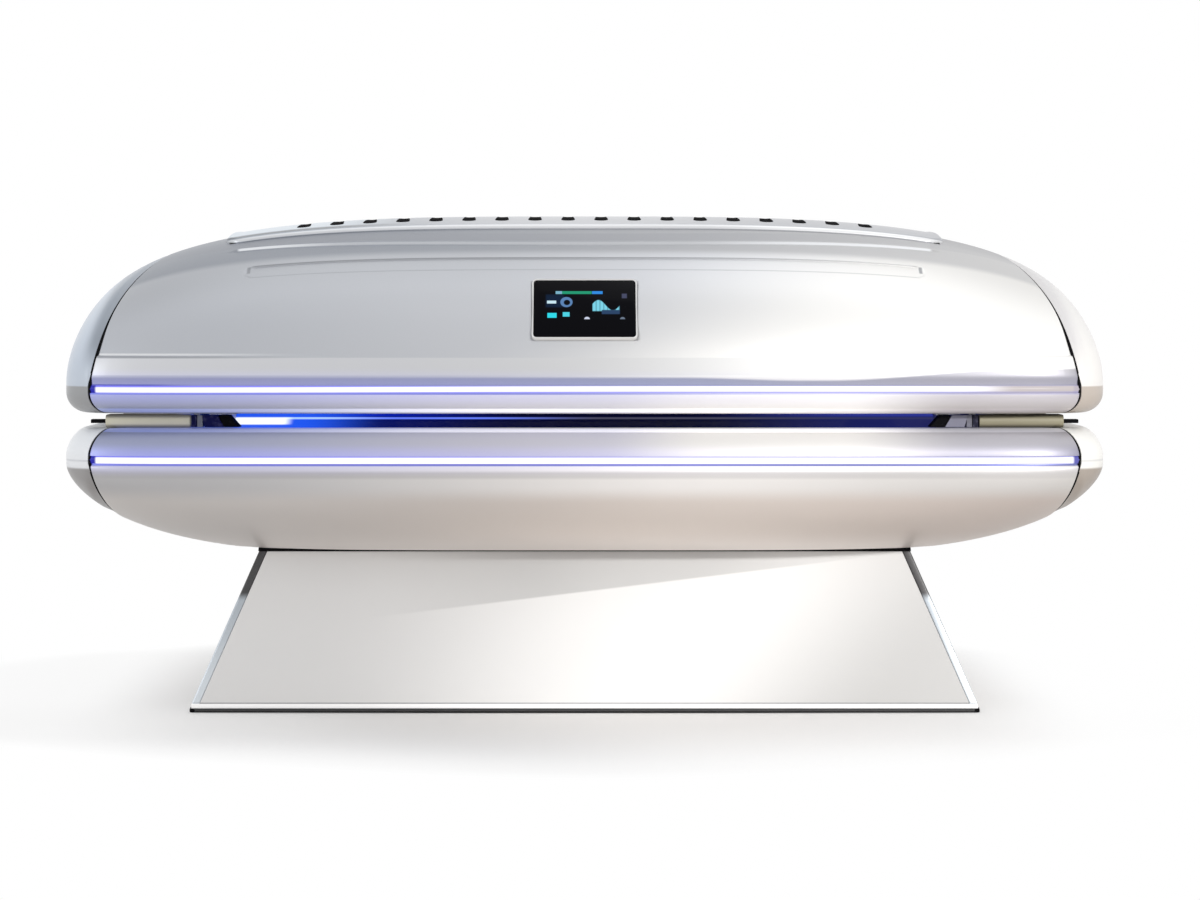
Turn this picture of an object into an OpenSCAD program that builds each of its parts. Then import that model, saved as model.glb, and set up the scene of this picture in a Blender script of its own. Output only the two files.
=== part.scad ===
// Clam-shell light therapy bed: a domed canopy on a rear hinge over a boat-shaped bench,
// on a flared pedestal. Millimetres, Z up, X along the bed, the front faces -Y.
// The origin is on the floor under the middle of the bed.

/* [Overall] */
// Length of the bed over its end caps
bed_length = 2198; // [2120:2:2260]
// Depth of the bed from front to back
bed_depth = 1157; // [1130:1:1190]

/* [Pedestal] */
// Height of the pedestal's top edge above the floor
pedestal_height = 345; // [325:1:375]
// Width of the pedestal along its top edge
pedestal_top_width = 1410; // [1350:2:1440]
// Width of the pedestal along its foot
pedestal_foot_width = 1690; // [1640:2:1760]
// Depth of the pedestal at its top edge
pedestal_top_depth = 580; // [560:2:610]
// Depth of the pedestal at its foot
pedestal_foot_depth = 700; // [670:2:740]
// Thickness of the cladding panels
panel_thickness = 3; // [2:0.5:4]
// Width of the corner posts
post_width = 18; // [14:1:24]
// Height of the white trim round the foot
trim_height = 10; // [6:1:16]
// Thickness of the dark base plate
plate_thickness = 6; // [4:0.5:10]
// How far the base plate stands out past the trim
plate_overhang = 4; // [2:0.5:8]
// Height of the foot pads under the base plate
pad_height = 3; // [2:0.5:8]
// Radius of the foot pads
pad_radius = 24; // [18:1:30]
// Radius of the levelling studs
stud_radius = 5; // [4:0.5:6]
// How far the levelling feet screw down
foot_travel = 15; // [5:1:18]

/* [Bench] */
// Height of the bench hull from its flat bottom to the light strip
hull_height = 196; // [186:1:206]
// Height of the bench lip above the light strip
bench_lip_height = 57; // [52:1:62]
// Depth of the hollow in the lying sheet
bench_sag = 115; // [100:1:122]

/* [Canopy] */
// Height of the open gap between bench and canopy when shut
gap_height = 31; // [28:1:36]
// Height of the canopy lip under the light strip
canopy_lip_height = 44; // [40:1:50]
// Rise of the dome above the light strip
canopy_rise = 361; // [352:1:370]
// Rise of the clear arch over the user
arch_rise = 251; // [240:1:256]
// How far the top deck stands above the dome
deck_raise = 10; // [8:1:14]
// Length of the top deck
deck_length = 1556; // [1500:2:1600]
// Angle that the canopy opens
open_angle = 45; // [30:1:50]

/* [Shells] */
// Wall of the outer shells
wall = 5; // [4:0.5:6]
// Height of the light strips
strip_height = 15; // [12:1:18]
// Thickness of the light strips
strip_thickness = 6; // [5:0.5:8]
// How far the lips tuck under the rim
lip_inset = 40; // [34:1:46]
// Inner edge of the lip flanges, measured in from the rim
flange_inset = 88; // [84:1:94]
// Thickness of the acrylic sheets
acrylic = 6; // [4:0.5:8]
// Distance from the ends of the bed to the user's tunnel
tunnel_margin = 244; // [234:1:259]
// Open joint between the end caps and the shells
seam_gap = 0.6; // [0.4:0.1:0.9]

/* [Light boards] */
// Boards along the bed
boards_along = 6; // [4:1:8]
// Boards across the bench and the canopy
boards_across = 7; // [5:2:7]
// Width of one board
board_width = 110; // [90:2:114]
// Thickness of one board
board_thickness = 2; // [1.6:0.2:3]
// Clear space between acrylic and boards
board_space = 10; // [8:1:12]

/* [Frame] */
// Side of the square tubes in the frames
tube = 30; // [25:1:32]
// Side of the rails under the lips
rail = 25; // [20:1:26]
// Distance of the outermost ribs and cross tubes from the tunnel's ends
rib_margin = 55; // [45:1:90]
// Radial depth of the canopy ribs
rib_depth = 24; // [18:1:28]

/* [Display] */
// Width of the display glass
glass_width = 213; // [190:1:230]
// Height of the display glass along its slope
glass_height = 143; // [120:1:150]
// Width of the bezel round the glass
bezel_width = 4; // [3:0.5:8]
// Height of the display's centre above the floor
display_z = 870; // [850:1:885]
// How far the bezel's face is sunk below the dome at its middle
bezel_sink = 3; // [1:0.5:5]

/* [Fans] */
// Side of the square fans
fan_size = 120; // [110:1:130]
// Height of the fans
fan_height = 25; // [22:1:28]
// Distance of the inner fans from the centre
inner_fan_x = 205; // [180:5:230]
// Distance of the outer fans from the centre
outer_fan_x = 560; // [540:5:590]

/* [Vents] */
// Width of one slot in the top deck
slot_width = 22; // [14:1:30]
// Length of one slot in the top deck
slot_length = 260; // [200:5:270]
// Pitch of the slots in the top deck
slot_pitch = 73; // [60:1:90]
// Slots in the top deck
slot_count = 18; // [10:2:18]

/* [Hinge and struts] */
// Distance of the hinges from the centre
hinge_x = 700; // [600:5:720]
// Length of one hinge
hinge_length = 120; // [90:2:140]
// Radius of the hinge knuckles
knuckle_radius = 11; // [9:0.5:12]
// Radius of the hinge pins
hinge_pin_radius = 5; // [4:0.5:6]
// Distance of the gas struts from the tunnel's ends
strut_margin = 30; // [27:1:35]
// Radius of the strut tubes
strut_radius = 11; // [9:0.5:12]
// Radius of the strut rods
strut_rod_radius = 5; // [4:0.5:6]
// How far behind the centre the struts stand on the bench
strut_foot_y = 330; // [310:1:340]
// How far behind the centre the struts meet the canopy
strut_head_y = 100; // [90:1:110]

/* [Hidden] */

// Clearances: parts that only lie on each other, running fits, and parts that pass
fit = 0.3;
running = 0.05;
pass = 2;
// Small overlap that keeps cuts clean
cut = 1;

// Half sizes of the plan outline, whose last rows stop just short of its tip, and the stack
// of heights
end_share = 0.9995;
half_length = bed_length / 2 / end_share;
half_depth = bed_depth / 2;
plate_z = pad_height;
trim_z = plate_z + plate_thickness;
panel_z = trim_z + trim_height;
shadow_gap = 5;
hull_z = pedestal_height + shadow_gap;
bench_rim_z = hull_z + hull_height;
bench_lip_z = bench_rim_z + strip_height;
bench_top_z = bench_lip_z + bench_lip_height;
canopy_low_z = bench_top_z + gap_height;
canopy_strip_z = canopy_low_z + canopy_lip_height;
dome_z = canopy_strip_z + strip_height;

// Powers of the rounded outlines: plan, long arch of the dome, keel, and cross sections
plan_power = 12;
arch_power = 3.36;
arch_round = 3.45;
keel_power = 4;
keel_round = 2.38;
dome_section = 2.2;
hull_section = 2.4;
// The hull's curve would bottom out deeper than its flat bottom
flat_share = 0.845;
hull_full = hull_height / flat_share;

// Shares of the half length where the seams run: at the rim, and how far they lean in
seam_rim = 0.9365;
dome_seam_lean = 0.052;
dome_seam_sweep = 0.05;
dome_seam_turn = 5;
hull_seam_lean = 0.034;
seam_step = seam_gap / half_length;
keel_limit = 88;

// Facets of the formed shells
dome_cells = 29;
hull_cells = 8;
lip_cells = 4;
shell_rows = 22;
lip_rows = 16;
cap_rows = 8;

// Lips, flanges and what lies on them
flange_y = half_depth - flange_inset;
rail_step = 9.5;
rail_y = flange_y + rail_step;
bench_flange_z = bench_top_z - wall;
canopy_flange_z = canopy_low_z + wall;
tunnel_half = bed_length / 2 - tunnel_margin;
sheet_half = tunnel_half - wall - fit;
cross_pitch = (tunnel_half - rib_margin) / 2;
cross_spots = [-2 * cross_pitch, -cross_pitch, 0, cross_pitch, 2 * cross_pitch];

// Lying sheet: a shallow trough whose edges lie under the flanges
sheet_edge = 1.5;
bench_sheet_y = rail_y - sheet_edge;
bench_edge_z = bench_flange_z - fit;
bench_radius = (pow(bench_sheet_y, 2) + pow(bench_sag, 2)) / (2 * bench_sag);
bench_centre_z = bench_edge_z - bench_sag + bench_radius;
// Clear arch over the user: its edges stand on the flanges
arch_edge_in = 2.5;
arch_sheet_y = flange_y - arch_edge_in;
arch_edge_z = canopy_flange_z + fit;
arch_radius = (pow(arch_sheet_y, 2) + pow(arch_rise, 2)) / (2 * arch_rise);
arch_centre_z = arch_edge_z + arch_rise - arch_radius;
// Boards lie flat against a curved tray
tray_thickness = 2;
board_gap = 8;
board_length = 2 * sheet_half / boards_along - board_gap - pass;
board_pitch = board_width + board_gap;
board_drop = pow(board_width / 2, 2) / (2 * bench_radius);
bench_tray = bench_radius + acrylic + board_space + board_thickness + board_drop + fit;
arch_board = arch_radius + acrylic + board_space;
arch_tray = sqrt(pow(arch_board + board_thickness, 2) + pow(board_width / 2, 2)) + fit;
rib_gap = 8;
rib_width = 24;
rib_radius = arch_tray + tray_thickness + rib_gap;

// Pedestal frame and feet, in from the panels
frame_inset = [75, 60];
frame_x = pedestal_top_width / 2 - frame_inset[0];
frame_y = pedestal_top_depth / 2 - frame_inset[1];
foot_x = pedestal_foot_width / 2 - frame_inset[0];
foot_y = pedestal_foot_depth / 2 - frame_inset[1];
boss_wall = 7;
boss_spare = 10;
boss_radius = stud_radius + boss_wall;
boss_height = foot_travel + boss_spare;

// Bench frame: its spine stands over the pedestal frame
leg_height = 75;
spine_in = 55;
cross_in = 70;
frame_z = hull_z + leg_height;
spine_y = frame_y - spine_in;
cross_y = rail_y - cross_in;
web = 5;
gusset = 6;
ledge = 4;
strut_x = tunnel_half + strut_margin;
strut_eye = 12;
strut_eye_radius = 10;
end_tube_z = frame_z + tube / 2;
strut_pin_length = 7;
end_tube_x = strut_x + strut_eye / 2 + strut_pin_length;
mast_step = 20;
mast_y = strut_foot_y + mast_step;
mast_depth = 15;
pin_proud = 3;

// Hinge axis in the middle of the gap, near the back edge
pivot_inset = 22.5;
pivot_y = half_depth - pivot_inset;
pivot_z = (bench_top_z + canopy_low_z) / 2;
leaf = 3;
leaf_y = rail_y - 2;
leaf_end = 12;
leaf_hole = 2.6;
leaf_hole_in = 14;
leaf_hole_spots = [-0.35, 0, 0.35];

// Gas struts: foot on the end tube, head on the canopy, and where the head goes when open
strut_foot = [strut_foot_y, end_tube_z + tube / 2];
strut_head_lift = 51;
strut_head = [strut_head_y, canopy_low_z + strut_head_lift];
function turned(p, a) = [
    pivot_y + (p[0] - pivot_y) * cos(a) + (p[1] - pivot_z) * sin(a),
    pivot_z - (p[0] - pivot_y) * sin(a) + (p[1] - pivot_z) * cos(a)
];
strut_open = turned(strut_head, open_angle);
strut_shut_length = norm(strut_head - strut_foot);
strut_lean = atan2(strut_head[0] - strut_foot[0], strut_head[1] - strut_foot[1]);
strut_rod_shows = 45;
strut_head_stud = 7;
// Thickness and half width of the strut brackets, and half width of the fan tray's stand-offs
bracket = [4, 16];
standoff = 20;
strut_tube_end = strut_shut_length - strut_rod_shows;
function crossing(from, to, z) = from[0] + (to[0] - from[0]) * (z - from[1]) / (to[1] - from[1]);
// Slots the struts swing in, with room for their radius on each side
slot_room = 2 * strut_radius;
bench_slot = [
    crossing(strut_foot, strut_head, bench_flange_z) - slot_room,
    crossing(strut_foot, strut_open, bench_flange_z) + slot_room
];
canopy_foot_open = turned(strut_foot, -open_angle);
canopy_slot = [
    crossing(strut_foot, strut_head, canopy_flange_z) - 1.6 * slot_room,
    crossing(canopy_foot_open, strut_head, canopy_flange_z) + 0.8 * slot_room
];
strut_slot_width = slot_room + 10;

// End decks beyond the tunnel, cut in at their corners under the round caps
deck_y = rail_y - fit;
deck_end_x = half_length - flange_inset + ledge;
deck_corner = [55, 45];
deck_skirt_in = 12;
bumper_height = 9;
bumper_radius = 14;
bumper_inset = 25;
block_z = canopy_flange_z - bumper_height;
block_inset = 133.5;
block_y = -(half_depth - block_inset);
block_width = 40;
block_end_in = 30;
block_end_x = deck_end_x - block_end_in;
// How far the block's corner is cut in, and how far its end runs back
block_corner = [55, 57];
block_turn = [70, 100];
// Centres of the bumpers on each rest block
bumper_spots = [
    [tunnel_half + bumper_inset, block_y + block_width / 2],
    [block_end_x - bumper_inset, block_y + block_corner[0]]
];

// Display on the front of the dome, square to the surface
display_s = (display_z - dome_z) / canopy_rise;
display_c = pow(1 - pow(display_s, dome_section), 1 / dome_section);
display_y = -half_depth * display_c;
display_tilt = atan2(pow(display_s, dome_section - 1) / canopy_rise,
    pow(display_c, dome_section - 1) / half_depth);
bezel_depth = 20;
glass_thickness = 3;

// Top deck and the opening under it
deck_share = deck_length / bed_length;
deck_angle = 66.6;
deck_rows = 20;
deck_cells = 9;
deck_skin = 4;
// The border stands clear of the dome's facets
deck_seat = 1.3;
crown_z = dome_z + canopy_rise;
opening_rim = 50;
opening_x = outer_fan_x + fan_size / 2 + opening_rim;
opening_y = slot_length / 2 + wall;
fan_drop = 52;
fan_top_z = crown_z - fan_drop;
fan_spots = [-outer_fan_x, -inner_fan_x, inner_fan_x, outer_fan_x];
fan_hole = fan_size / 2 - 3;
fan_shaft_radius = 3;
hub_radius = 20;
blade_count = 7;

// Outline shares along the length, and rounded cross sections
function share(u, n, m) = pow(max(0, 1 - pow(abs(u), n)), 1 / m);
function plan_share(u) = share(u, plan_power, plan_power);
function arch_share(u) = share(u, arch_power, arch_round);
function keel_share(u) = share(u, keel_power, keel_round);
function round_cos(a, m) = sign(cos(a)) * pow(abs(cos(a)), 2 / m);
function round_sin(a, m) = pow(abs(sin(a)), 2 / m);
function dome_seam(a) = seam_rim - dome_seam_lean * sin(a)
    - dome_seam_sweep * pow(sin(a), dome_seam_turn);
function hull_seam(a) = seam_rim - hull_seam_lean * sin(a);

// Points of the shells: u runs along the bed, side is -1 at the front and 1 at the back
function rim_point(u, inset, z, side) =
    [u * (half_length - inset), side * (half_depth - inset) * plan_share(u), z];
function dome_point(u, a, inset) = [
    u * (half_length - inset),
    -(half_depth - inset) * plan_share(u) * round_cos(a, dome_section),
    dome_z + (canopy_rise - inset) * arch_share(u) * round_sin(a, dome_section)
];
function keel_angle(u, inset) = min(keel_limit, asin(min(1, pow(
    (hull_height - inset) / ((hull_full - inset) * max(0.01, keel_share(u))), hull_section / 2))));
function hull_point(u, a, inset, side) = [
    u * (half_length - inset),
    side * (half_depth - inset) * plan_share(u) * round_cos(a, hull_section),
    max(hull_z + inset,
        bench_rim_z - (hull_full - inset) * keel_share(u) * round_sin(a, hull_section))
];
// Lip section from the flange's inner edge round to the light strip, as [inset, height]
function lip_section(inset, height) = concat(
    [[flange_inset, inset]],
    [for (k = [0 : lip_cells]) let (a = 90 * (1 - k / lip_cells))
        [lip_inset - (lip_inset - inset) * cos(a), height - (height - inset) * sin(a)]]
);
function backwards(list) = [for (k = [len(list) - 1 : -1 : 0]) list[k]];
// Stations from -1 to 1, closer together towards the ends
function station(i, rows) = let (t = 2 * i / rows - 1) sign(t) * (1 - pow(1 - abs(t), 1.4));
// Stations of a cap from its seam to its end
function cap_station(i) = 1 - pow(1 - i / cap_rows, 1.8);

// A thin shell between two grids of points. A bridged shell is closed across its last row.
function quad(a, b, c, d) = [[a, b, c], [a, c, d]];
module skin_solid(outer, inner, bridged = false) {
    rows = len(outer);
    cols = len(outer[0]);
    last = rows - 1;
    edge = cols - 1;
    function o(i, j) = i * cols + j;
    function n(i, j) = rows * cols + i * cols + j;
    faces = [
        for (i = [0 : last - 1]) for (j = [0 : edge - 1])
            each quad(o(i, j), o(i, j + 1), o(i + 1, j + 1), o(i + 1, j)),
        for (i = [0 : last - 1]) for (j = [0 : edge - 1])
            each quad(n(i + 1, j), n(i + 1, j + 1), n(i, j + 1), n(i, j)),
        for (j = [0 : edge - 1]) each quad(n(0, j), n(0, j + 1), o(0, j + 1), o(0, j)),
        for (i = [0 : last - 1]) each quad(o(i, 0), o(i + 1, 0), n(i + 1, 0), n(i, 0)),
        for (i = [0 : last - 1])
            each quad(o(i + 1, edge), o(i, edge), n(i, edge), n(i + 1, edge)),
        if (!bridged) for (j = [0 : edge - 1])
            each quad(o(last, j), o(last, j + 1), n(last, j + 1), n(last, j)),
        if (bridged) for (j = [0 : cols / 2 - 2])
            each quad(o(last, j), o(last, j + 1), o(last, edge - 1 - j), o(last, edge - j)),
        if (bridged) for (j = [0 : cols / 2 - 2])
            each quad(n(last, edge - j), n(last, edge - 1 - j), n(last, j + 1), n(last, j)),
        if (bridged) each quad(o(last, 0), o(last, edge), n(last, edge), n(last, 0))
    ];
    polyhedron([for (row = outer) each row, for (row = inner) each row], faces, 8);
}

// Helpers for straight parts
module along_x(x0, length) {
    translate([x0, 0, 0]) rotate([90, 0, 90]) linear_extrude(length) children();
}
module block(low, high) translate(low) cube(high - low);
module both_ends() {
    children();
    mirror([1, 0, 0]) children();
}
module both_sides() {
    children();
    mirror([0, 1, 0]) children();
}
module arc_sheet(radius, thickness, x0, length) {
    along_x(x0, length) difference() {
        circle(radius + thickness, $fn = 180);
        circle(radius, $fn = 180);
    }
}
// A slab between two levels of the flared pedestal, given by its corners at each level
module flared_slab(low, high, z0, z1) {
    polyhedron(
        [for (p = low) [p[0], p[1], z0], for (p = high) [p[0], p[1], z1]],
        [[0, 1, 2, 3], [7, 6, 5, 4], [0, 4, 5, 1], [1, 5, 6, 2], [2, 6, 7, 3], [3, 7, 4, 0]]
    );
}
function corners(x0, y0, x1, y1) = [[x0, y0], [x1, y0], [x1, y1], [x0, y1]];
function flare(z) = (pedestal_height - z) / (pedestal_height - panel_z);
function flare_x(z) = (pedestal_top_width + (pedestal_foot_width - pedestal_top_width) * flare(z)) / 2;
function flare_y(z) = (pedestal_top_depth + (pedestal_foot_depth - pedestal_top_depth) * flare(z)) / 2;

// Pedestal
module rounded_plate(width, depth, radius, z0, height) {
    w = width / 2;
    d = depth / 2;
    block([-w + radius, -d, z0], [w - radius, d, z0 + height]);
    block([-w, -d + radius, z0], [w, d - radius, z0 + height]);
    for (x = [-w + radius, w - radius])
        for (y = [-d + radius, d - radius])
            translate([x, y, z0]) cylinder(height, radius, radius, $fn = 64);
}
module foot_spots() {
    for (x = [-foot_x, foot_x])
        for (y = [-foot_y, foot_y])
            translate([x, y, 0]) children();
}
module base_plate() {
    color("#2b2b2d") difference() {
        union() {
            rounded_plate(pedestal_foot_width + 2 * plate_overhang,
                pedestal_foot_depth + 2 * plate_overhang, 14, plate_z, plate_thickness);
            foot_spots() translate([0, 0, trim_z - cut])
                cylinder(boss_height + cut, boss_radius, boss_radius, $fn = 48);
        }
        foot_spots() translate([0, 0, plate_z - cut])
            cylinder(plate_thickness + boss_height + 2 * cut, stud_radius + running,
                stud_radius + running, $fn = 48);
    }
}
module skirt_trim() {
    color("#f4f4f4") difference() {
        block([-pedestal_foot_width / 2, -pedestal_foot_depth / 2, trim_z],
            [pedestal_foot_width / 2, pedestal_foot_depth / 2, panel_z]);
        block([post_width - pedestal_foot_width / 2, post_width - pedestal_foot_depth / 2, trim_z - cut],
            [pedestal_foot_width / 2 - post_width, pedestal_foot_depth / 2 - post_width, panel_z + cut]);
    }
}
function front_strip(z) = corners(-flare_x(z) + post_width, -flare_y(z),
    flare_x(z) - post_width, -flare_y(z) + panel_thickness);
function side_strip(z) = corners(flare_x(z) - panel_thickness, -flare_y(z) + post_width,
    flare_x(z), flare_y(z) - post_width);
function post_strip(z) = corners(flare_x(z) - post_width, -flare_y(z),
    flare_x(z), -flare_y(z) + post_width);
module front_panel() {
    color("#dededf")
        flared_slab(front_strip(panel_z), front_strip(pedestal_height), panel_z, pedestal_height);
}
rear_tilt = atan2(pedestal_foot_depth - pedestal_top_depth, 2 * (pedestal_height - panel_z));
screw_inset = 105;
screw_radius = 2;
screw_head_radius = 4.2;
screw_head_height = 2.4;
screw_x = pedestal_top_width / 2 - screw_inset;
screw_columns = [-screw_x, -screw_x / 3, screw_x / 3, screw_x];
screw_levels = [panel_z + 20, pedestal_height - 20];
entry_at = [120, 70];
entry_x = -screw_x + entry_at[0];
entry_z = panel_z + entry_at[1];
entry_size = [50, 84];
entry_edge = 4;
vent_x = screw_x / 2;
vent_z = (panel_z + pedestal_height) / 2 + 10;
vent_size = [130, 5];
vent_pitch = 14;
// Depth of the cuts through the sloping rear panel
rear_cut = 20;
// Places a child on the rear panel, with its own Z pointing out of it
module on_rear(x, z) translate([x, flare_y(z), z]) rotate([rear_tilt - 90, 0, 0]) children();
module rear_panel() {
    color("#d2d3d5") difference() {
        mirror([0, 1, 0])
            flared_slab(front_strip(panel_z), front_strip(pedestal_height), panel_z, pedestal_height);
        on_rear(entry_x, entry_z)
            cube([entry_size[0] - 2 * entry_edge + fit, entry_size[1] - 2 * entry_edge + fit, rear_cut],
                center = true);
        for (x = [-vent_x, vent_x]) for (k = [-4 : 4])
            on_rear(x, vent_z + k * vent_pitch)
                cube([vent_size[0], vent_size[1], rear_cut], center = true);
        for (x = screw_columns) for (z = screw_levels)
            on_rear(x, z)
                cylinder(rear_cut, screw_radius + fit, screw_radius + fit, center = true, $fn = 24);
    }
}
module panel_screws() {
    thread = panel_thickness + 6;
    color("#8d9094")
        for (x = screw_columns) for (z = screw_levels) on_rear(x, z) {
            cylinder(screw_head_height, screw_head_radius, screw_head_radius, $fn = 24);
            translate([0, 0, -thread]) cylinder(thread + cut, screw_radius, screw_radius, $fn = 24);
        }
}
module side_panel() {
    color("#d6d7d9")
        flared_slab(side_strip(panel_z), side_strip(pedestal_height), panel_z, pedestal_height);
}
module side_panel_right() side_panel();
module side_panel_left() mirror([1, 0, 0]) side_panel();
module corner_posts() {
    color("#c9d3dd") both_ends() both_sides()
        flared_slab(post_strip(panel_z), post_strip(pedestal_height), panel_z, pedestal_height);
}
module pedestal_frame() {
    color("#5c6066") {
        for (x = [-frame_x, frame_x]) for (y = [-frame_y, frame_y])
            block([x - tube / 2, y - tube / 2, trim_z], [x + tube / 2, y + tube / 2, hull_z]);
        for (z = [trim_z, hull_z - tube]) {
            for (y = [-frame_y, frame_y])
                block([-frame_x, y - tube / 2, z], [frame_x, y + tube / 2, z + tube]);
            for (x = [-frame_x, 0, frame_x])
                block([x - tube / 2, -frame_y, z], [x + tube / 2, frame_y, z + tube]);
        }
    }
}
// Power supplies stand in a row on the base plate, in one bay of the frame
bay_x = (frame_x + tube) / 2;
bay_length = frame_x - tube;
supply_size = [115, 215, 50];
supply_count = 4;
supply_edge = 17.5;
supply_pitch = (bay_length - supply_size[0] - 2 * supply_edge) / (supply_count - 1);
supply_vent = [80, 6, 6];
supply_vent_pitch = 22;
module power_supplies() {
    color("#a9adb0") for (k = [0 : supply_count - 1])
        translate([bay_x + (k - (supply_count - 1) / 2) * supply_pitch, 0, trim_z]) difference() {
            translate([0, 0, supply_size[2] / 2]) cube(supply_size, center = true);
            for (v = [-3 : 3])
                translate([0, v * supply_vent_pitch, supply_size[2]]) cube(supply_vent, center = true);
        }
}
cabinet_size = [300, 240, 130];
cabinet_rim = 12;
module control_cabinet() {
    color("#c4c7c9") translate([-bay_x, 0, trim_z]) difference() {
        translate([0, 0, cabinet_size[2] / 2]) cube(cabinet_size, center = true);
        translate([0, 0, cabinet_size[2]])
            cube([cabinet_size[0] - 2 * cabinet_rim, cabinet_size[1] - 2 * cabinet_rim, 4], center = true);
    }
}
// Mains inlet and switch housing share one moulding
inlet_at = 19;
rocker_at = -21;
rocker_size = [18, 26];
rocker_pin = 1.5;
rocker_lean = 8;
rocker_depth = 1;
rocker_outline = [[-12, 5.4], [0, 3.6], [12, 5.4], [9, -3.2], [-9, -3.2]];
entry_face = 3;
entry_depth = 32;
socket_size = [30, 24, 17];
socket_blade = [2, 6, 16];
rocker_well = 12;
module power_entry() {
    color("#1d1d1f") on_rear(entry_x, entry_z) {
        difference() {
            union() {
                translate([0, 0, entry_face / 2])
                    cube([entry_size[0], entry_size[1], entry_face], center = true);
                translate([0, 0, -entry_depth / 2])
                    cube([entry_size[0] - 2 * entry_edge, entry_size[1] - 2 * entry_edge, entry_depth],
                        center = true);
            }
            // socket recess
            translate([0, inlet_at, 0])
                cube([socket_size[0], socket_size[1], 2 * socket_size[2]], center = true);
            // rocker well
            translate([0, rocker_at, 0])
                cube([rocker_size[0] + 1, rocker_size[1] + 1, 2 * rocker_well], center = true);
            translate([0, rocker_at, -rocker_depth]) rotate([0, 90, 0])
                cylinder(rocker_size[0] + 8, rocker_pin + running, rocker_pin + running,
                    center = true, $fn = 32);
        }
        for (spot = [[-8, 0], [8, 0], [0, -5]])
            translate([spot[0], inlet_at + spot[1], cut - socket_size[2] + (socket_blade[2] - 2) / 2])
                cube(socket_blade, center = true);
    }
}
module power_rocker() {
    color("#2a2a2c") on_rear(entry_x, entry_z) translate([0, rocker_at, -rocker_depth]) {
        rotate([-rocker_lean, 0, 0]) translate([-rocker_size[0] / 2, 0, 0]) rotate([90, 0, 90])
            linear_extrude(rocker_size[0]) polygon(rocker_outline);
        rotate([0, 90, 0]) cylinder(rocker_size[0] + 6, rocker_pin, rocker_pin, center = true, $fn = 32);
    }
}
stud_proud = 4;
module foot(x, y) {
    color("#3a3a3c") translate([x, y, 0]) {
        cylinder(plate_z - fit, pad_radius, pad_radius, $fn = 64);
        cylinder(trim_z + boss_height + stud_proud, stud_radius, stud_radius, $fn = 48);
    }
}
module foot_front_left() foot(-foot_x, -foot_y);
module foot_front_right() foot(foot_x, -foot_y);
module foot_rear_left() foot(-foot_x, foot_y);
module foot_rear_right() foot(foot_x, foot_y);

// Bench
// One cross row of the hull, from the back rim under the keel to the front rim
function hull_row(s, inset) = let (
    limit = keel_angle(s * seam_rim, inset),
    side_row = [for (k = [0 : hull_cells]) limit * k / hull_cells]
) concat(
    [for (a = side_row) hull_point(s * hull_seam(a), a, inset, 1)],
    [for (a = backwards(side_row)) hull_point(s * hull_seam(a), a, inset, -1)]
);
module bench_hull() {
    color("#c3c4c8") skin_solid(
        [for (i = [0 : shell_rows]) hull_row(station(i, shell_rows), 0)],
        [for (i = [0 : shell_rows]) hull_row(station(i, shell_rows), wall)]
    );
}
function cap_u(seam, i) = seam + seam_step + (end_share - seam - seam_step) * cap_station(i);
function bench_cap_row(i, inset) = let (
    lip = [for (e = lip_section(inset, bench_lip_height)) [e[0], bench_top_z - e[1]]],
    under = [for (k = [0 : hull_cells]) keel_limit * k / hull_cells]
) concat(
    [for (e = lip) rim_point(cap_u(seam_rim, i), e[0], e[1], 1)],
    [for (a = under) hull_point(cap_u(hull_seam(a), i), a, inset, 1)],
    [for (a = backwards(under)) hull_point(cap_u(hull_seam(a), i), a, inset, -1)],
    [for (e = backwards(lip)) rim_point(cap_u(seam_rim, i), e[0], e[1], -1)]
);
module bench_cap() {
    color("#f0f1f4") skin_solid(
        [for (i = [0 : cap_rows]) bench_cap_row(i, 0)],
        [for (i = [0 : cap_rows]) bench_cap_row(i, wall)],
        bridged = true
    );
}
module bench_cap_right() bench_cap();
module bench_cap_left() mirror([1, 0, 0]) bench_cap();

// A lip along the front edge. band adds the strip's height where no light strip is fitted.
function bench_lip_row(s, inset, band) = [
    for (e = concat(
        band > 0 ? [[inset, bench_lip_height + band]] : [],
        backwards(lip_section(inset, bench_lip_height))
    )) rim_point(s * seam_rim, e[0], bench_top_z - e[1], -1)
];
function canopy_lip_row(s, inset, band) = [
    for (e = concat(
        lip_section(inset, canopy_lip_height),
        band > 0 ? [[inset, canopy_lip_height + band]] : []
    )) rim_point(s * seam_rim, e[0], canopy_low_z + e[1], -1)
];
module bench_lip(band) {
    color("#d4d5da") skin_solid(
        [for (i = [0 : lip_rows]) bench_lip_row(station(i, lip_rows), 0, band)],
        [for (i = [0 : lip_rows]) bench_lip_row(station(i, lip_rows), wall, band)]
    );
}
module canopy_lip(band) {
    color("#d4d5da") skin_solid(
        [for (i = [0 : lip_rows]) canopy_lip_row(station(i, lip_rows), 0, band)],
        [for (i = [0 : lip_rows]) canopy_lip_row(station(i, lip_rows), wall, band)]
    );
}
module bench_lip_front() bench_lip(0);
module bench_lip_rear() mirror([0, 1, 0]) bench_lip(strip_height);
module light_strip(z) {
    color("#e8ecff") skin_solid(
        [for (i = [0 : lip_rows]) let (u = station(i, lip_rows) * seam_rim)
            [rim_point(u, 0, z, -1), rim_point(u, 0, z + strip_height, -1)]],
        [for (i = [0 : lip_rows]) let (u = station(i, lip_rows) * seam_rim)
            [rim_point(u, strip_thickness, z, -1), rim_point(u, strip_thickness, z + strip_height, -1)]]
    );
}
module bench_light_strip() light_strip(bench_rim_z);

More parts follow.
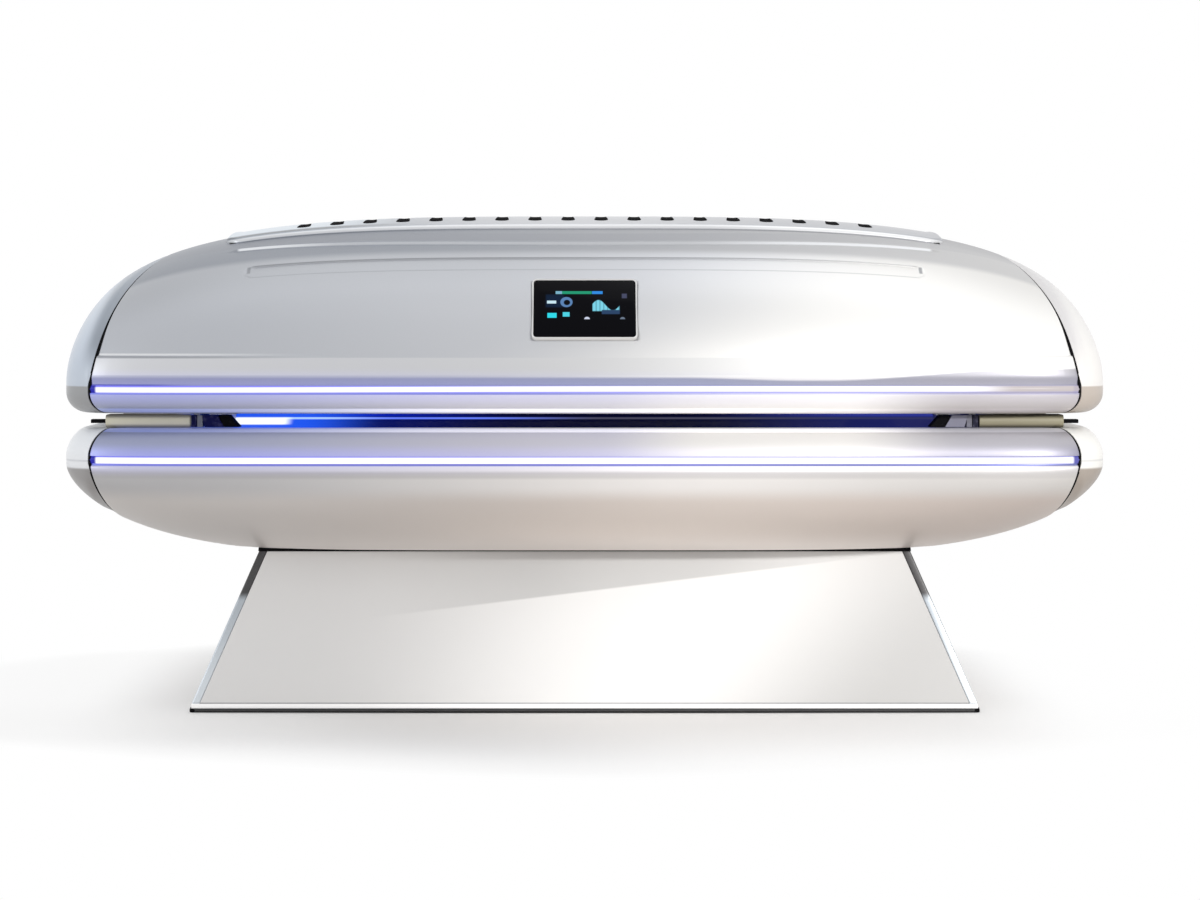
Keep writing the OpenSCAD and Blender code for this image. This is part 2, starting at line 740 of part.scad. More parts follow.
module bench_frame() {
    tray_drop = sqrt(pow(bench_tray + tray_thickness, 2) - pow(rail_y - 2 * web, 2));
    ledge_z = bench_centre_z - tray_drop - fit;
    rail_z = bench_flange_z - rail;
    color("#6a6e74") {
        both_sides() {
            // rail under the lip, with a web and a ledge for the board tray
            block([-sheet_half, rail_y, rail_z], [sheet_half, rail_y + rail, bench_flange_z]);
            block([-sheet_half, rail_y - 2 * web, ledge_z - ledge], [sheet_half, rail_y + web, ledge_z]);
            block([-sheet_half, rail_y, ledge_z - ledge], [sheet_half, rail_y + web, bench_flange_z - cut]);
            // spine tubes on legs that stand on the hull over the pedestal frame
            block([-end_tube_x - tube, spine_y - tube / 2, frame_z],
                [end_tube_x + tube, spine_y + tube / 2, frame_z + tube]);
            for (x = [-frame_x, 0, frame_x])
                block([x - tube / 2, spine_y - tube / 2, hull_z + wall],
                    [x + tube / 2, spine_y + tube / 2, frame_z + cut]);
            // gussets from the cross tubes up to the rails
            for (x = cross_spots)
                along_x(x - gusset / 2, gusset) polygon([
                    [cross_y - tube, frame_z + web], [cross_y + 2 * web, frame_z + web],
                    [rail_y + 4 * web, rail_z - 91], [rail_y + 4 * web, rail_z + cut],
                    [rail_y, rail_z + cut], [rail_y - gusset, ledge_z - 22],
                    [cross_y - tube, frame_z + tube]
                ]);
        }
        for (x = cross_spots)
            block([x - tube / 2, -cross_y, frame_z], [x + tube / 2, cross_y, frame_z + tube]);
        both_ends() {
            block([end_tube_x, -mast_y, end_tube_z], [end_tube_x + tube, mast_y, end_tube_z + tube]);
            both_sides() block([end_tube_x, mast_y - mast_depth, end_tube_z + cut],
                [end_tube_x + tube, mast_y, bench_flange_z - wall]);
            // strut pins with a collar
            translate([strut_x - strut_eye / 2 - pin_proud, strut_foot[0], strut_foot[1]]) rotate([0, 90, 0])
                cylinder(end_tube_x - strut_x + strut_eye / 2 + pin_proud + cut, hinge_pin_radius,
                    hinge_pin_radius, $fn = 48);
            translate([strut_x + strut_eye / 2 + fit, strut_foot[0], strut_foot[1]]) rotate([0, 90, 0])
                cylinder(end_tube_x - strut_x - strut_eye / 2 - fit + cut, strut_eye_radius - 1,
                    strut_eye_radius - 1, $fn = 48);
        }
    }
}
module bench_led_tray() {
    color("#b9bdc2") translate([0, 0, bench_centre_z]) intersection() {
        arc_sheet(bench_tray, tray_thickness, -sheet_half, 2 * sheet_half);
        block([-sheet_half - cut, -rail_y + 2, -2 * bench_radius], [sheet_half + cut, rail_y - 2, 0]);
    }
}
module board_grid(radius, toward) {
    for (i = [0 : boards_along - 1])
        for (k = [-(boards_across - 1) / 2 : (boards_across - 1) / 2])
            rotate([k * board_pitch / radius * 180 / PI, 0, 0])
                translate([(i + 0.5) * 2 * sheet_half / boards_along - sheet_half, 0, toward * radius])
                cube([board_length, board_width, board_thickness], center = true);
}
module bench_led_boards() {
    color("#f3f4ee") translate([0, 0, bench_centre_z])
        board_grid(bench_tray - fit - board_drop - board_thickness / 2, -1);
}
module bench_acrylic() {
    color("#9fb6ff", 0.5) translate([0, 0, bench_centre_z]) intersection() {
        arc_sheet(bench_radius, acrylic, -sheet_half, 2 * sheet_half);
        block([-sheet_half - cut, -bench_sheet_y, -2 * bench_radius], [sheet_half + cut, bench_sheet_y, 0]);
    }
}
function end_outline() = [
    [tunnel_half - wall, -deck_y], [deck_end_x - deck_corner[0], -deck_y],
    [deck_end_x, -deck_y + deck_corner[1]], [deck_end_x, deck_y - deck_corner[1]],
    [deck_end_x - deck_corner[0], deck_y], [tunnel_half - wall, deck_y]
];
// The rest blocks follow the round corners of the caps
function block_outline() = [
    [tunnel_half - wall, block_y], [block_end_x - block_corner[0], block_y],
    [block_end_x, block_y + block_corner[1]], [block_end_x, block_y + block_turn[1]],
    [block_end_x - block_turn[0], block_y + block_width], [tunnel_half - wall, block_y + block_width]
];
module bench_end_deck() {
    color("#cfc9ad") {
        difference() {
            translate([0, 0, bench_flange_z - wall]) linear_extrude(wall) polygon(end_outline());
            block([strut_x - strut_slot_width / 2, bench_slot[0], bench_flange_z - 2 * wall],
                [strut_x + strut_slot_width / 2, bench_slot[1], bench_flange_z + wall]);
        }
        block([tunnel_half - wall, -rail_y + deck_skirt_in, frame_z + 1.5 * tube],
            [tunnel_half, rail_y - deck_skirt_in, bench_flange_z - wall + cut]);
        translate([0, 0, bench_flange_z - cut]) linear_extrude(block_z - bench_flange_z + cut)
            polygon(block_outline());
    }
}
module bench_end_deck_right() bench_end_deck();
module bench_end_deck_left() mirror([1, 0, 0]) bench_end_deck();
module rest_bumpers() {
    color("#1b1b1d") both_ends() for (spot = bumper_spots)
        translate([spot[0], spot[1], block_z])
            cylinder(bumper_height - fit, bumper_radius, bumper_radius - 2, $fn = 48);
}
module rear_gap_seal() {
    seal_half = hinge_x - hinge_length / 2 - 10;
    foot_width = 16;
    sheet = 2;
    color("#141416") {
        block([-seal_half, rail_y, bench_top_z], [seal_half, rail_y + foot_width, bench_top_z + sheet]);
        block([-seal_half, rail_y, bench_top_z], [seal_half, rail_y + sheet + cut, canopy_low_z - 3 * pass]);
    }
}

// Hinges: a leaf on each flange, knuckles round one pin
knuckle_foot = [20, 4];
module knuckle_profile(up) {
    reach = gap_height / 2 - fit;
    translate([pivot_y, pivot_z]) circle(knuckle_radius, $fn = 64);
    translate([0, pivot_z]) mirror([0, up ? 0 : 1]) polygon([
        [pivot_y - knuckle_foot[0], reach - leaf], [pivot_y - knuckle_foot[0], reach],
        [pivot_y + knuckle_foot[1], reach], [pivot_y + knuckle_radius - 2, 2],
        [pivot_y - knuckle_radius + 2, 2]
    ]);
}
module leaf_plate(x, up) {
    z = up ? canopy_low_z - fit - leaf : bench_top_z + fit;
    difference() {
        block([x - hinge_length / 2, leaf_y, z], [x + hinge_length / 2, pivot_y - leaf_end, z + leaf]);
        for (dx = leaf_hole_spots)
            translate([x + dx * hinge_length, leaf_y + leaf_hole_in, z - cut])
                cylinder(leaf + 2 * cut, leaf_hole, leaf_hole, $fn = 32);
    }
}
module pin_bore() {
    translate([0, pivot_y, pivot_z]) rotate([0, 90, 0])
        cylinder(bed_length, hinge_pin_radius + running, hinge_pin_radius + running, center = true, $fn = 64);
}
knuckle_gap = 0.5;
middle_knuckle = hinge_length / 2;
module hinge_lower_leaves() {
    outer_length = (hinge_length - middle_knuckle) / 2 - knuckle_gap;
    color("#9a9da2") difference() {
        for (x = [-hinge_x, hinge_x]) {
            leaf_plate(x, false);
            along_x(x - hinge_length / 2, outer_length) knuckle_profile(false);
            along_x(x + hinge_length / 2 - outer_length, outer_length) knuckle_profile(false);
        }
        pin_bore();
    }
}
module hinge_upper_leaves() {
    color("#9a9da2") difference() {
        for (x = [-hinge_x, hinge_x]) {
            leaf_plate(x, true);
            along_x(x - middle_knuckle / 2, middle_knuckle) knuckle_profile(true);
        }
        pin_bore();
    }
}
module hinge_pins() {
    color("#c8cacc") for (x = [-hinge_x, hinge_x])
        translate([x, pivot_y, pivot_z]) rotate([0, 90, 0]) {
            cylinder(hinge_length + 6, hinge_pin_radius, hinge_pin_radius, center = true, $fn = 48);
            for (end = [-1, 1]) translate([0, 0, end * (hinge_length / 2 + 2 + fit)])
                cylinder(4, hinge_pin_radius + 2, hinge_pin_radius + 2, center = true, $fn = 48);
        }
}

// Canopy
function dome_angle(j) = 180 * j / dome_cells;
function dome_row(s, inset) = [
    for (j = [0 : dome_cells]) let (a = dome_angle(j)) dome_point(s * dome_seam(a), a, inset)
];
module on_display() translate([0, display_y, display_z]) rotate([90 - display_tilt, 0, 0]) children();
module canopy_shell() {
    color("#c9cace") difference() {
        skin_solid(
            [for (i = [0 : shell_rows]) dome_row(station(i, shell_rows), 0)],
            [for (i = [0 : shell_rows]) dome_row(station(i, shell_rows), wall)]
        );
        block([-opening_x, -opening_y, crown_z - 60], [opening_x, opening_y, crown_z + 20]);
        on_display() cube([glass_width + 2 * bezel_width + fit, glass_height + 2 * bezel_width + fit, 80],
            center = true);
    }
}
function canopy_cap_row(i, inset) = let (
    lip = [for (e = lip_section(inset, canopy_lip_height)) [e[0], canopy_low_z + e[1]]]
) concat(
    [for (e = lip) rim_point(cap_u(seam_rim, i), e[0], e[1], -1)],
    [for (j = [0 : dome_cells]) let (a = dome_angle(j)) dome_point(cap_u(dome_seam(a), i), a, inset)],
    [for (e = backwards(lip)) rim_point(cap_u(seam_rim, i), e[0], e[1], 1)]
);
module canopy_cap() {
    color("#f0f1f4") skin_solid(
        [for (i = [0 : cap_rows]) canopy_cap_row(i, 0)],
        [for (i = [0 : cap_rows]) canopy_cap_row(i, wall)],
        bridged = true
    );
}
module canopy_cap_right() canopy_cap();
module canopy_cap_left() mirror([1, 0, 0]) canopy_cap();
module canopy_lip_front() canopy_lip(0);
module canopy_lip_rear() mirror([0, 1, 0]) canopy_lip(strip_height);
module canopy_light_strip() light_strip(canopy_strip_z);

// Raised deck: its border comes down to the dome, the rest is a skin over the fans
function deck_point(i, j, lift) = dome_point(deck_share * (2 * i / deck_rows - 1),
    deck_angle + (180 - 2 * deck_angle) * j / deck_cells, -lift);
function on_border(i, j) = i == 0 || j == 0 || i == deck_rows || j == deck_cells;
module top_deck() {
    color("#bfc1c6") difference() {
        skin_solid(
            [for (i = [0 : deck_rows]) [for (j = [0 : deck_cells]) deck_point(i, j, deck_raise)]],
            [for (i = [0 : deck_rows]) [for (j = [0 : deck_cells])
                deck_point(i, j, on_border(i, j) ? deck_seat : deck_raise - deck_skin)]]
        );
        for (k = [-(slot_count - 1) / 2 : (slot_count - 1) / 2])
            translate([k * slot_pitch, 0, crown_z]) cube([slot_width, slot_length, 80], center = true);
    }
}
module canopy_frame() {
    color("#6a6e74") {
        both_sides() block([-sheet_half, rail_y, canopy_flange_z],
            [sheet_half, rail_y + rail, canopy_flange_z + rail]);
        for (x = cross_spots) {
            intersection() {
                translate([0, 0, arch_centre_z])
                    arc_sheet(rib_radius, rib_depth, x - rib_width / 2, rib_width);
                block([x - rib_width, -half_depth, canopy_flange_z + rail / 2],
                    [x + rib_width, half_depth, crown_z]);
            }
            // stand-off for the fan tray
            if (abs(x) < opening_x)
                block([x - rib_width / 2, -standoff, arch_centre_z + rib_radius + wall],
                    [x + rib_width / 2, standoff, fan_top_z]);
        }
        // strut brackets on the end panels
        both_ends() {
            block([strut_x + strut_eye / 2 + pass, strut_head[0] - bracket[1], canopy_flange_z + wall],
                [strut_x + strut_eye / 2 + pass + bracket[0], strut_head[0] + bracket[1],
                    strut_head[1] + bracket[1]]);
            translate([strut_x + strut_eye / 2 + fit, strut_head[0], strut_head[1]]) rotate([0, 90, 0])
                cylinder(pass + cut, strut_head_stud, strut_head_stud, $fn = 48);
        }
    }
}
module canopy_led_tray() {
    color("#b9bdc2") translate([0, 0, arch_centre_z]) intersection() {
        arc_sheet(arch_tray, tray_thickness, -sheet_half, 2 * sheet_half);
        block([-sheet_half - cut, -half_depth, canopy_flange_z + rail + fit - arch_centre_z],
            [sheet_half + cut, half_depth, 2 * arch_radius]);
    }
}
module canopy_led_boards() {
    color("#f3f4ee") translate([0, 0, arch_centre_z]) board_grid(arch_board + board_thickness / 2, 1);
}
module canopy_acrylic() {
    color("#9fb6ff", 0.5) translate([0, 0, arch_centre_z]) intersection() {
        arc_sheet(arch_radius, acrylic, -sheet_half, 2 * sheet_half);
        block([-sheet_half - cut, -half_depth, arch_edge_z - arch_centre_z],
            [sheet_half + cut, half_depth, 2 * arch_radius]);
    }
}
module canopy_end_panel() {
    color("#cfc9ad") {
        difference() {
            translate([0, 0, canopy_flange_z]) linear_extrude(wall) polygon(end_outline());
            block([strut_x - strut_slot_width / 2, canopy_slot[0], canopy_flange_z - wall],
                [strut_x + strut_slot_width / 2, canopy_slot[1], canopy_flange_z + 2 * wall]);
        }
        along_x(tunnel_half - wall, wall) intersection() {
            translate([0, arch_centre_z]) circle(arch_tray, $fn = 180);
            translate([-rail_y + 2, canopy_flange_z + cut]) square([2 * rail_y - 4, arch_radius]);
        }
    }
}
module canopy_end_panel_right() canopy_end_panel();
module canopy_end_panel_left() mirror([1, 0, 0]) canopy_end_panel();

// Cooling fans under the deck
fan_sheet = 2;
fan_floor = 3;
spoke_width = 6;
blade_lean = 38;
blade_width = 20;
blade_thickness = 2;
rotor_height = fan_height - 2 * fan_floor;
module fan_tray() {
    edge = 5;
    color("#3b3d41") difference() {
        block([-opening_x + edge, -opening_y + edge, fan_top_z],
            [opening_x - edge, opening_y - edge, fan_top_z + fan_sheet]);
        for (x = fan_spots)
            translate([x, 0, fan_top_z - cut]) cylinder(fan_sheet + 2 * cut, fan_hole, fan_hole, $fn = 96);
    }
}
module fan_housings() {
    color("#202124") for (x = fan_spots) translate([x, 0, fan_top_z - fan_height]) {
        difference() {
            translate([-fan_size / 2, -fan_size / 2, 0]) cube([fan_size, fan_size, fan_height]);
            translate([0, 0, -cut]) cylinder(fan_height + 2 * cut, fan_hole, fan_hole, $fn = 96);
        }
        cylinder(fan_floor, hub_radius + 2, hub_radius + 2, $fn = 64);
        cylinder(fan_height - fan_floor, fan_shaft_radius, fan_shaft_radius, $fn = 48);
        for (a = [45 : 90 : 315]) rotate([0, 0, a]) translate([hub_radius, -spoke_width / 2, 0])
            cube([fan_hole - hub_radius + 2, spoke_width, fan_floor]);
    }
}
module fan_rotor(x) {
    color("#2d2e31") translate([x, 0, fan_top_z - fan_height + fan_floor + 1]) difference() {
        union() {
            cylinder(rotor_height, hub_radius, hub_radius, $fn = 64);
            for (k = [0 : blade_count - 1]) rotate([0, 0, k * 360 / blade_count])
                translate([hub_radius - 3, 0, rotor_height / 2]) rotate([blade_lean, 0, 0])
                    translate([0, -blade_thickness / 2, -blade_width / 2])
                    cube([fan_hole - hub_radius + 1, blade_thickness, blade_width]);
        }
        translate([0, 0, -cut]) cylinder(rotor_height + 2 * cut, fan_shaft_radius + running,
            fan_shaft_radius + running, $fn = 48);
    }
}
module fan_rotor_1() fan_rotor(fan_spots[0]);
module fan_rotor_2() fan_rotor(fan_spots[1]);
module fan_rotor_3() fan_rotor(fan_spots[2]);
module fan_rotor_4() fan_rotor(fan_spots[3]);

// Display
bezel_floor = 8;
controller_edge = 30;
module display_bezel() {
    w = glass_width + 2 * bezel_width;
    h = glass_height + 2 * bezel_width;
    edge = 20;
    color("#f4f5f7") on_display() difference() {
        translate([0, 0, -bezel_sink - bezel_depth / 2]) cube([w, h, bezel_depth], center = true);
        translate([0, 0, -bezel_sink]) cube([glass_width, glass_height, 2 * glass_thickness], center = true);
        translate([0, 0, -bezel_sink - bezel_depth])
            cube([w - edge, h - edge, 2 * (bezel_depth - bezel_floor)], center = true);
    }
}
module display_glass() {
    color("#08090b") on_display() translate([0, 0, -bezel_sink - glass_thickness / 2])
        cube([glass_width - fit, glass_height - fit, glass_thickness], center = true);
}
module display_controller() {
    height = bezel_depth - 1;
    color("#2f5b3c") on_display() translate([0, 0, -bezel_sink - bezel_floor - height / 2])
        cube([glass_width - controller_edge, glass_height - controller_edge, height], center = true);
}

// Gas struts, built upright on their foot and leant into place
strut_neck = 20;
strut_plug = 11;
module on_strut(side) {
    translate([side * strut_x, strut_foot[0], strut_foot[1]]) rotate([-strut_lean, 0, 0]) children();
}
module strut_tube(side) {
    color("#2a2b2e") on_strut(side) difference() {
        union() {
            rotate([0, 90, 0])
                cylinder(strut_eye, strut_eye_radius, strut_eye_radius, center = true, $fn = 64);
            cylinder(strut_neck + cut, strut_eye / 2, strut_eye / 2, $fn = 48);
            translate([0, 0, strut_neck])
                cylinder(strut_tube_end - strut_neck, strut_radius, strut_radius, $fn = 64);
        }
        rotate([0, 90, 0]) cylinder(strut_eye + 2 * cut, hinge_pin_radius + running,
            hinge_pin_radius + running, center = true, $fn = 64);
        translate([0, 0, strut_neck + strut_plug])
            cylinder(strut_tube_end - strut_neck - 2 * strut_plug, strut_radius - 2,
                strut_radius - 2, $fn = 64);
        cylinder(strut_tube_end + cut, strut_rod_radius + running, strut_rod_radius + running, $fn = 64);
    }
}
module strut_rod(side) {
    color("#d5d7d9") on_strut(side) {
        translate([0, 0, strut_neck * 2])
            cylinder(strut_shut_length - strut_neck * 2 - strut_eye_radius / 2, strut_rod_radius,
                strut_rod_radius, $fn = 64);
        translate([0, 0, strut_shut_length]) rotate([0, 90, 0])
            cylinder(strut_eye, strut_eye_radius - 1, strut_eye_radius - 1, center = true, $fn = 64);
    }
}
module strut_tube_left() strut_tube(-1);
module strut_tube_right() strut_tube(1);
module strut_rod_left() strut_rod(-1);
module strut_rod_right() strut_rod(1);

base_plate();
skirt_trim();
front_panel();
rear_panel();
side_panel_left();
side_panel_right();
corner_posts();
pedestal_frame();
power_supplies();
control_cabinet();
power_entry();
power_rocker();
panel_screws();
foot_front_left();
foot_front_right();
foot_rear_left();
foot_rear_right();
bench_hull();
bench_cap_left();
bench_cap_right();
bench_lip_front();
bench_lip_rear();
bench_light_strip();
bench_frame();
bench_led_tray();
bench_led_boards();
bench_acrylic();
bench_end_deck_left();
bench_end_deck_right();
rest_bumpers();
rear_gap_seal();
hinge_lower_leaves();
hinge_pins();
canopy_shell();
canopy_cap_left();
canopy_cap_right();
canopy_lip_front();
canopy_lip_rear();
canopy_light_strip();
top_deck();
canopy_frame();
canopy_led_tray();
canopy_led_boards();
canopy_acrylic();
canopy_end_panel_left();
canopy_end_panel_right();
hinge_upper_leaves();
fan_tray();
fan_housings();
fan_rotor_1();
fan_rotor_2();
fan_rotor_3();
fan_rotor_4();
display_bezel();
display_glass();
display_controller();
strut_tube_left();
strut_tube_right();
strut_rod_left();
strut_rod_right();
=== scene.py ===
"""A clam-shell light therapy bed: the finish of every surface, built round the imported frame.

The bed stands on its own origin in metres: X runs along it, the front faces -Y, Z is up.
"""

import math

import bmesh
import bpy
from mathutils import Matrix, Vector


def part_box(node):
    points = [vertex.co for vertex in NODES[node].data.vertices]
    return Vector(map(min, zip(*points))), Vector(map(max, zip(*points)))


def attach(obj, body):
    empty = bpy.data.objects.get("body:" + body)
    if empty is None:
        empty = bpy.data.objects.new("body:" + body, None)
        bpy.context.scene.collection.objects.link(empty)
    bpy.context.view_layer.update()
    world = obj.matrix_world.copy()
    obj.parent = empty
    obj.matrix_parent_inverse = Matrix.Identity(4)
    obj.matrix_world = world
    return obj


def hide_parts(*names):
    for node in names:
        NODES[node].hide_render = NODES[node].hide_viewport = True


bl_info = {
    "name": "Light Therapy Bed",
    "version": (1, 0, 0),
    "blender": (4, 5, 0),
    "location": "View3D > Sidebar > Bed",
    "description": "Shells, lights, display and finishes of a clam-shell light therapy bed",
    "category": "Object",
}

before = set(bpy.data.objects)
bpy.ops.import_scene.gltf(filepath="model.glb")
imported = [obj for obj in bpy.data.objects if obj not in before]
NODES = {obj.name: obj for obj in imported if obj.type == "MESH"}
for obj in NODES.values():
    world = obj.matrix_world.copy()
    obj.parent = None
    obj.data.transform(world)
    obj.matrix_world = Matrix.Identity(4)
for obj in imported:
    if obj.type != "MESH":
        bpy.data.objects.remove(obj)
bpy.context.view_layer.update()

# Heights and half sizes of the bed, taken from the frame
END_SHARE = 0.9995
DECK_RAISE = 0.010
HULL_SHARE = 0.845
HALF_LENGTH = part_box("canopy_cap_right")[1].x / END_SHARE
HALF_DEPTH = -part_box("canopy_light_strip")[0].y
STRIP_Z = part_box("canopy_light_strip")[0].z
DOME_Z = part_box("canopy_light_strip")[1].z
STRIP_HEIGHT = DOME_Z - STRIP_Z
CANOPY_LOW_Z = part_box("canopy_lip_front")[0].z
CROWN_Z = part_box("top_deck")[1].z - DECK_RAISE
CUT_TOP_Z = CROWN_Z + 0.05
RISE = CROWN_Z - DOME_Z
BENCH_TOP_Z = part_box("bench_lip_front")[1].z
BENCH_LIP_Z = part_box("bench_light_strip")[1].z
RIM_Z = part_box("bench_light_strip")[0].z
HULL_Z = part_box("bench_hull")[0].z
HULL_HEIGHT = RIM_Z - HULL_Z
HULL_FULL = HULL_HEIGHT / HULL_SHARE
CANOPY_LIP = STRIP_Z - CANOPY_LOW_Z
BENCH_LIP = BENCH_TOP_Z - BENCH_LIP_Z
DECK_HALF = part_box("top_deck")[1].x
FLOOR_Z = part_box("foot_front_left")[0].z
FLOOR_HALF = 9
GAP_Z = (BENCH_TOP_Z + CANOPY_LOW_Z) / 2

# Rounded outlines: powers of the plan, the long arch, the keel and the cross sections
PLAN = (12, 12)
ARCH = (3.36, 3.45)
KEEL = (4, 2.38)
DOME_SECTION = 2.2
HULL_SECTION = 2.4
SEAM_RIM = 0.9365
KEEL_LIMIT = 88

# Lips and walls
FLANGE_INSET = 0.088
LIP_INSET = 0.040
BENCH_LIP_POWER = 1.7
SEAM_GAP = 0.0034
SEAL_INSET = 0.0016
SHELL_SHARP = 35
CAP_LIP_STEPS = 12

# Distances from a seam at which the shells' rows follow its rounded edge
SEAM_STEPS = [0, 0.0003, 0.0009, 0.0018, 0.003]

# Top deck: its border angle on the dome, its corners, rolled edge, bead, seat and vent slots
DECK_ANGLE = 66.6
DECK_PER_DEGREE = 0.0102
DECK_HALF_ACROSS = (90 - DECK_ANGLE) * DECK_PER_DEGREE
DECK_ROUND = 0.045
DECK_ROLL = 0.009
DECK_BEAD = 0.0022
DECK_SEAT = 0.0012
SLOT_COUNT = 18
SLOT_PITCH = 0.073
SLOT_HALF_WIDTH = 0.011
SLOT_HALF_LENGTH = 0.130
SLOT_ROUND = 0.0105
# How much further a slot's insert reaches at its ends than at its sides
SLOT_REACH = 15

# Heights of the creases above the dome's rim, and places higher up as angles from its front rim
LOWER_CREASE = 0.021
UPPER_CREASE = 0.0595
CHANNEL = (40.0, 46.5)
RIDGE = 54.7
RIDGE_HALF_WIDTH = 0.011
# The ridge has risen by this share of the dome's height at this distance from the middle
RIDGE_BEND = 0.0386
RIDGE_BEND_AT = 0.75
ARC_PER_DEGREE = 0.00765
RISE_PER_DEGREE = 0.00934

# Where light and edges that show only at the front fade out across the bed
FRONT_FADE = (-0.1, 0.1)

# Shadow of the hull on the front panel: its height at one place along the bed, and its slope
SHADOW_X = -0.226
SHADOW_Z = 0.2273
SHADOW_SLOPE = 0.12


# Sizes and colours that a user would change


class BedShellSizes(bpy.types.PropertyGroup):
    """Sizes of the shells' detail."""

    wall: bpy.props.FloatProperty(
        name="Wall", description="Thickness of the outer shells", default=0.005, unit="LENGTH")
    seam_round: bpy.props.FloatProperty(
        name="Seam round", description="Radius of the shells' edges along the end seams",
        default=0.003, unit="LENGTH")
    band_depth: bpy.props.FloatProperty(
        name="Band depth", description="How far the band of the end caps is set in at the seam",
        default=0.009, unit="LENGTH")
    strip_recess: bpy.props.FloatProperty(
        name="Strip recess", description="How far the light strips lie behind the rims",
        default=0.0035, unit="LENGTH")
    channel_depth: bpy.props.FloatProperty(
        name="Channel depth", description="Depth of the long channel above the display",
        default=0.0035, unit="LENGTH")
    channel_half: bpy.props.FloatProperty(
        name="Channel half length", description="Half length of the long channel",
        default=0.723, unit="LENGTH")
    ridge_height: bpy.props.FloatProperty(
        name="Ridge height", description="Height of the long ridge below the deck",
        default=0.0060, unit="LENGTH")
    ridge_half: bpy.props.FloatProperty(
        name="Ridge half length", description="Half length of the long ridge",
        default=0.758, unit="LENGTH")
    crease_step: bpy.props.FloatProperty(
        name="Crease step", description="Depth of the crease above the lower band",
        default=0.0028, unit="LENGTH")


class BedColours(bpy.types.PropertyGroup):
    """Main colours of the finishes."""

    flake: bpy.props.FloatVectorProperty(
        name="Flake", description="Metallic flake of the silver paint", subtype="COLOR",
        default=(0.86, 0.87, 0.90))
    bezel: bpy.props.FloatVectorProperty(
        name="Bezel", description="Gloss white round the display", subtype="COLOR",
        default=(0.90, 0.90, 0.90))
    panel: bpy.props.FloatVectorProperty(
        name="Panel", description="Pale finish of the pedestal's cladding", subtype="COLOR",
        default=(0.90, 0.90, 0.90))
    glow: bpy.props.FloatVectorProperty(
        name="Glow", description="Violet-blue fringe of the light strips", subtype="COLOR",
        default=(0.10, 0.10, 0.85))
    tunnel: bpy.props.FloatVectorProperty(
        name="Tunnel", description="Blue light inside the tunnel", subtype="COLOR",
        default=(0.004, 0.03, 0.85))


class BedStage(bpy.types.PropertyGroup):
    """Camera and lamps."""

    camera_distance: bpy.props.FloatProperty(
        name="Camera distance", description="From the bed's middle plane to the camera",
        default=6.5, unit="LENGTH")
    camera_height: bpy.props.FloatProperty(
        name="Camera height", description="Height of the camera above the floor",
        default=0.865, unit="LENGTH")
    lens: bpy.props.FloatProperty(
        name="Lens", description="Focal length on the 36 mm sensor", default=85.9,
        unit="CAMERA")
    shift_x: bpy.props.FloatProperty(
        name="Shift X", description="Sideways shift that frames the bed", default=0.0128)
    shift_y: bpy.props.FloatProperty(
        name="Shift Y", description="Upward shift that frames the bed", default=-0.1167)
    ambient: bpy.props.FloatProperty(
        name="Ambient", description="Level of the studio's even light", default=0.70)


def sizes():
    """The shell sizes of this scene."""
    return bpy.context.scene.bed_shell_sizes


def colours():
    """The colours of this scene."""
    return bpy.context.scene.bed_colours


# Shader maths


def rgb(hex_code):
    """A linear colour from an sRGB hex code such as 'b5b8be'."""
    parts = [int(hex_code[i:i + 2], 16) / 255 for i in (0, 2, 4)]
    linear = [p / 12.92 if p <= 0.04045 else ((p + 0.055) / 1.055) ** 2.4 for p in parts]
    return tuple(linear)


def scaled(colour, factor, lift=0.0):
    """A colour made darker or lighter by a factor, with lift added."""
    return tuple(min(1, c * factor + lift) for c in colour)


class Wire:
    """One output socket of a shader tree. Arithmetic on it adds Math nodes."""

    def __init__(self, tree, socket):
        self.tree = tree
        self.socket = socket

    def __add__(self, other):
        return self.tree.maths("ADD", self, other)

    def __radd__(self, other):
        return self.tree.maths("ADD", other, self)

    def __sub__(self, other):
        return self.tree.maths("SUBTRACT", self, other)

    def __rsub__(self, other):
        return self.tree.maths("SUBTRACT", other, self)

    def __mul__(self, other):
        return self.tree.maths("MULTIPLY", self, other)

    def __rmul__(self, other):
        return self.tree.maths("MULTIPLY", other, self)

    def __truediv__(self, other):
        return self.tree.maths("DIVIDE", self, other)

    def __abs__(self):
        return self.tree.maths("ABSOLUTE", self)

    def step(self, low, high):
        """0 below low, 1 above high, smooth between; low may be the larger one."""
        return self.tree.node(
            "ShaderNodeMapRange", {"interpolation_type": "SMOOTHSTEP"},
            {"Value": self, "From Min": low, "From Max": high})

    def fade(self, low, high):
        """1 below low, 0 above high, smooth between."""
        return 1 - self.step(low, high)

    def band(self, low, high, soft):
        """1 between low and high, falling off over soft on both sides."""
        return self.step(low - soft, low) * self.fade(high, high + soft)


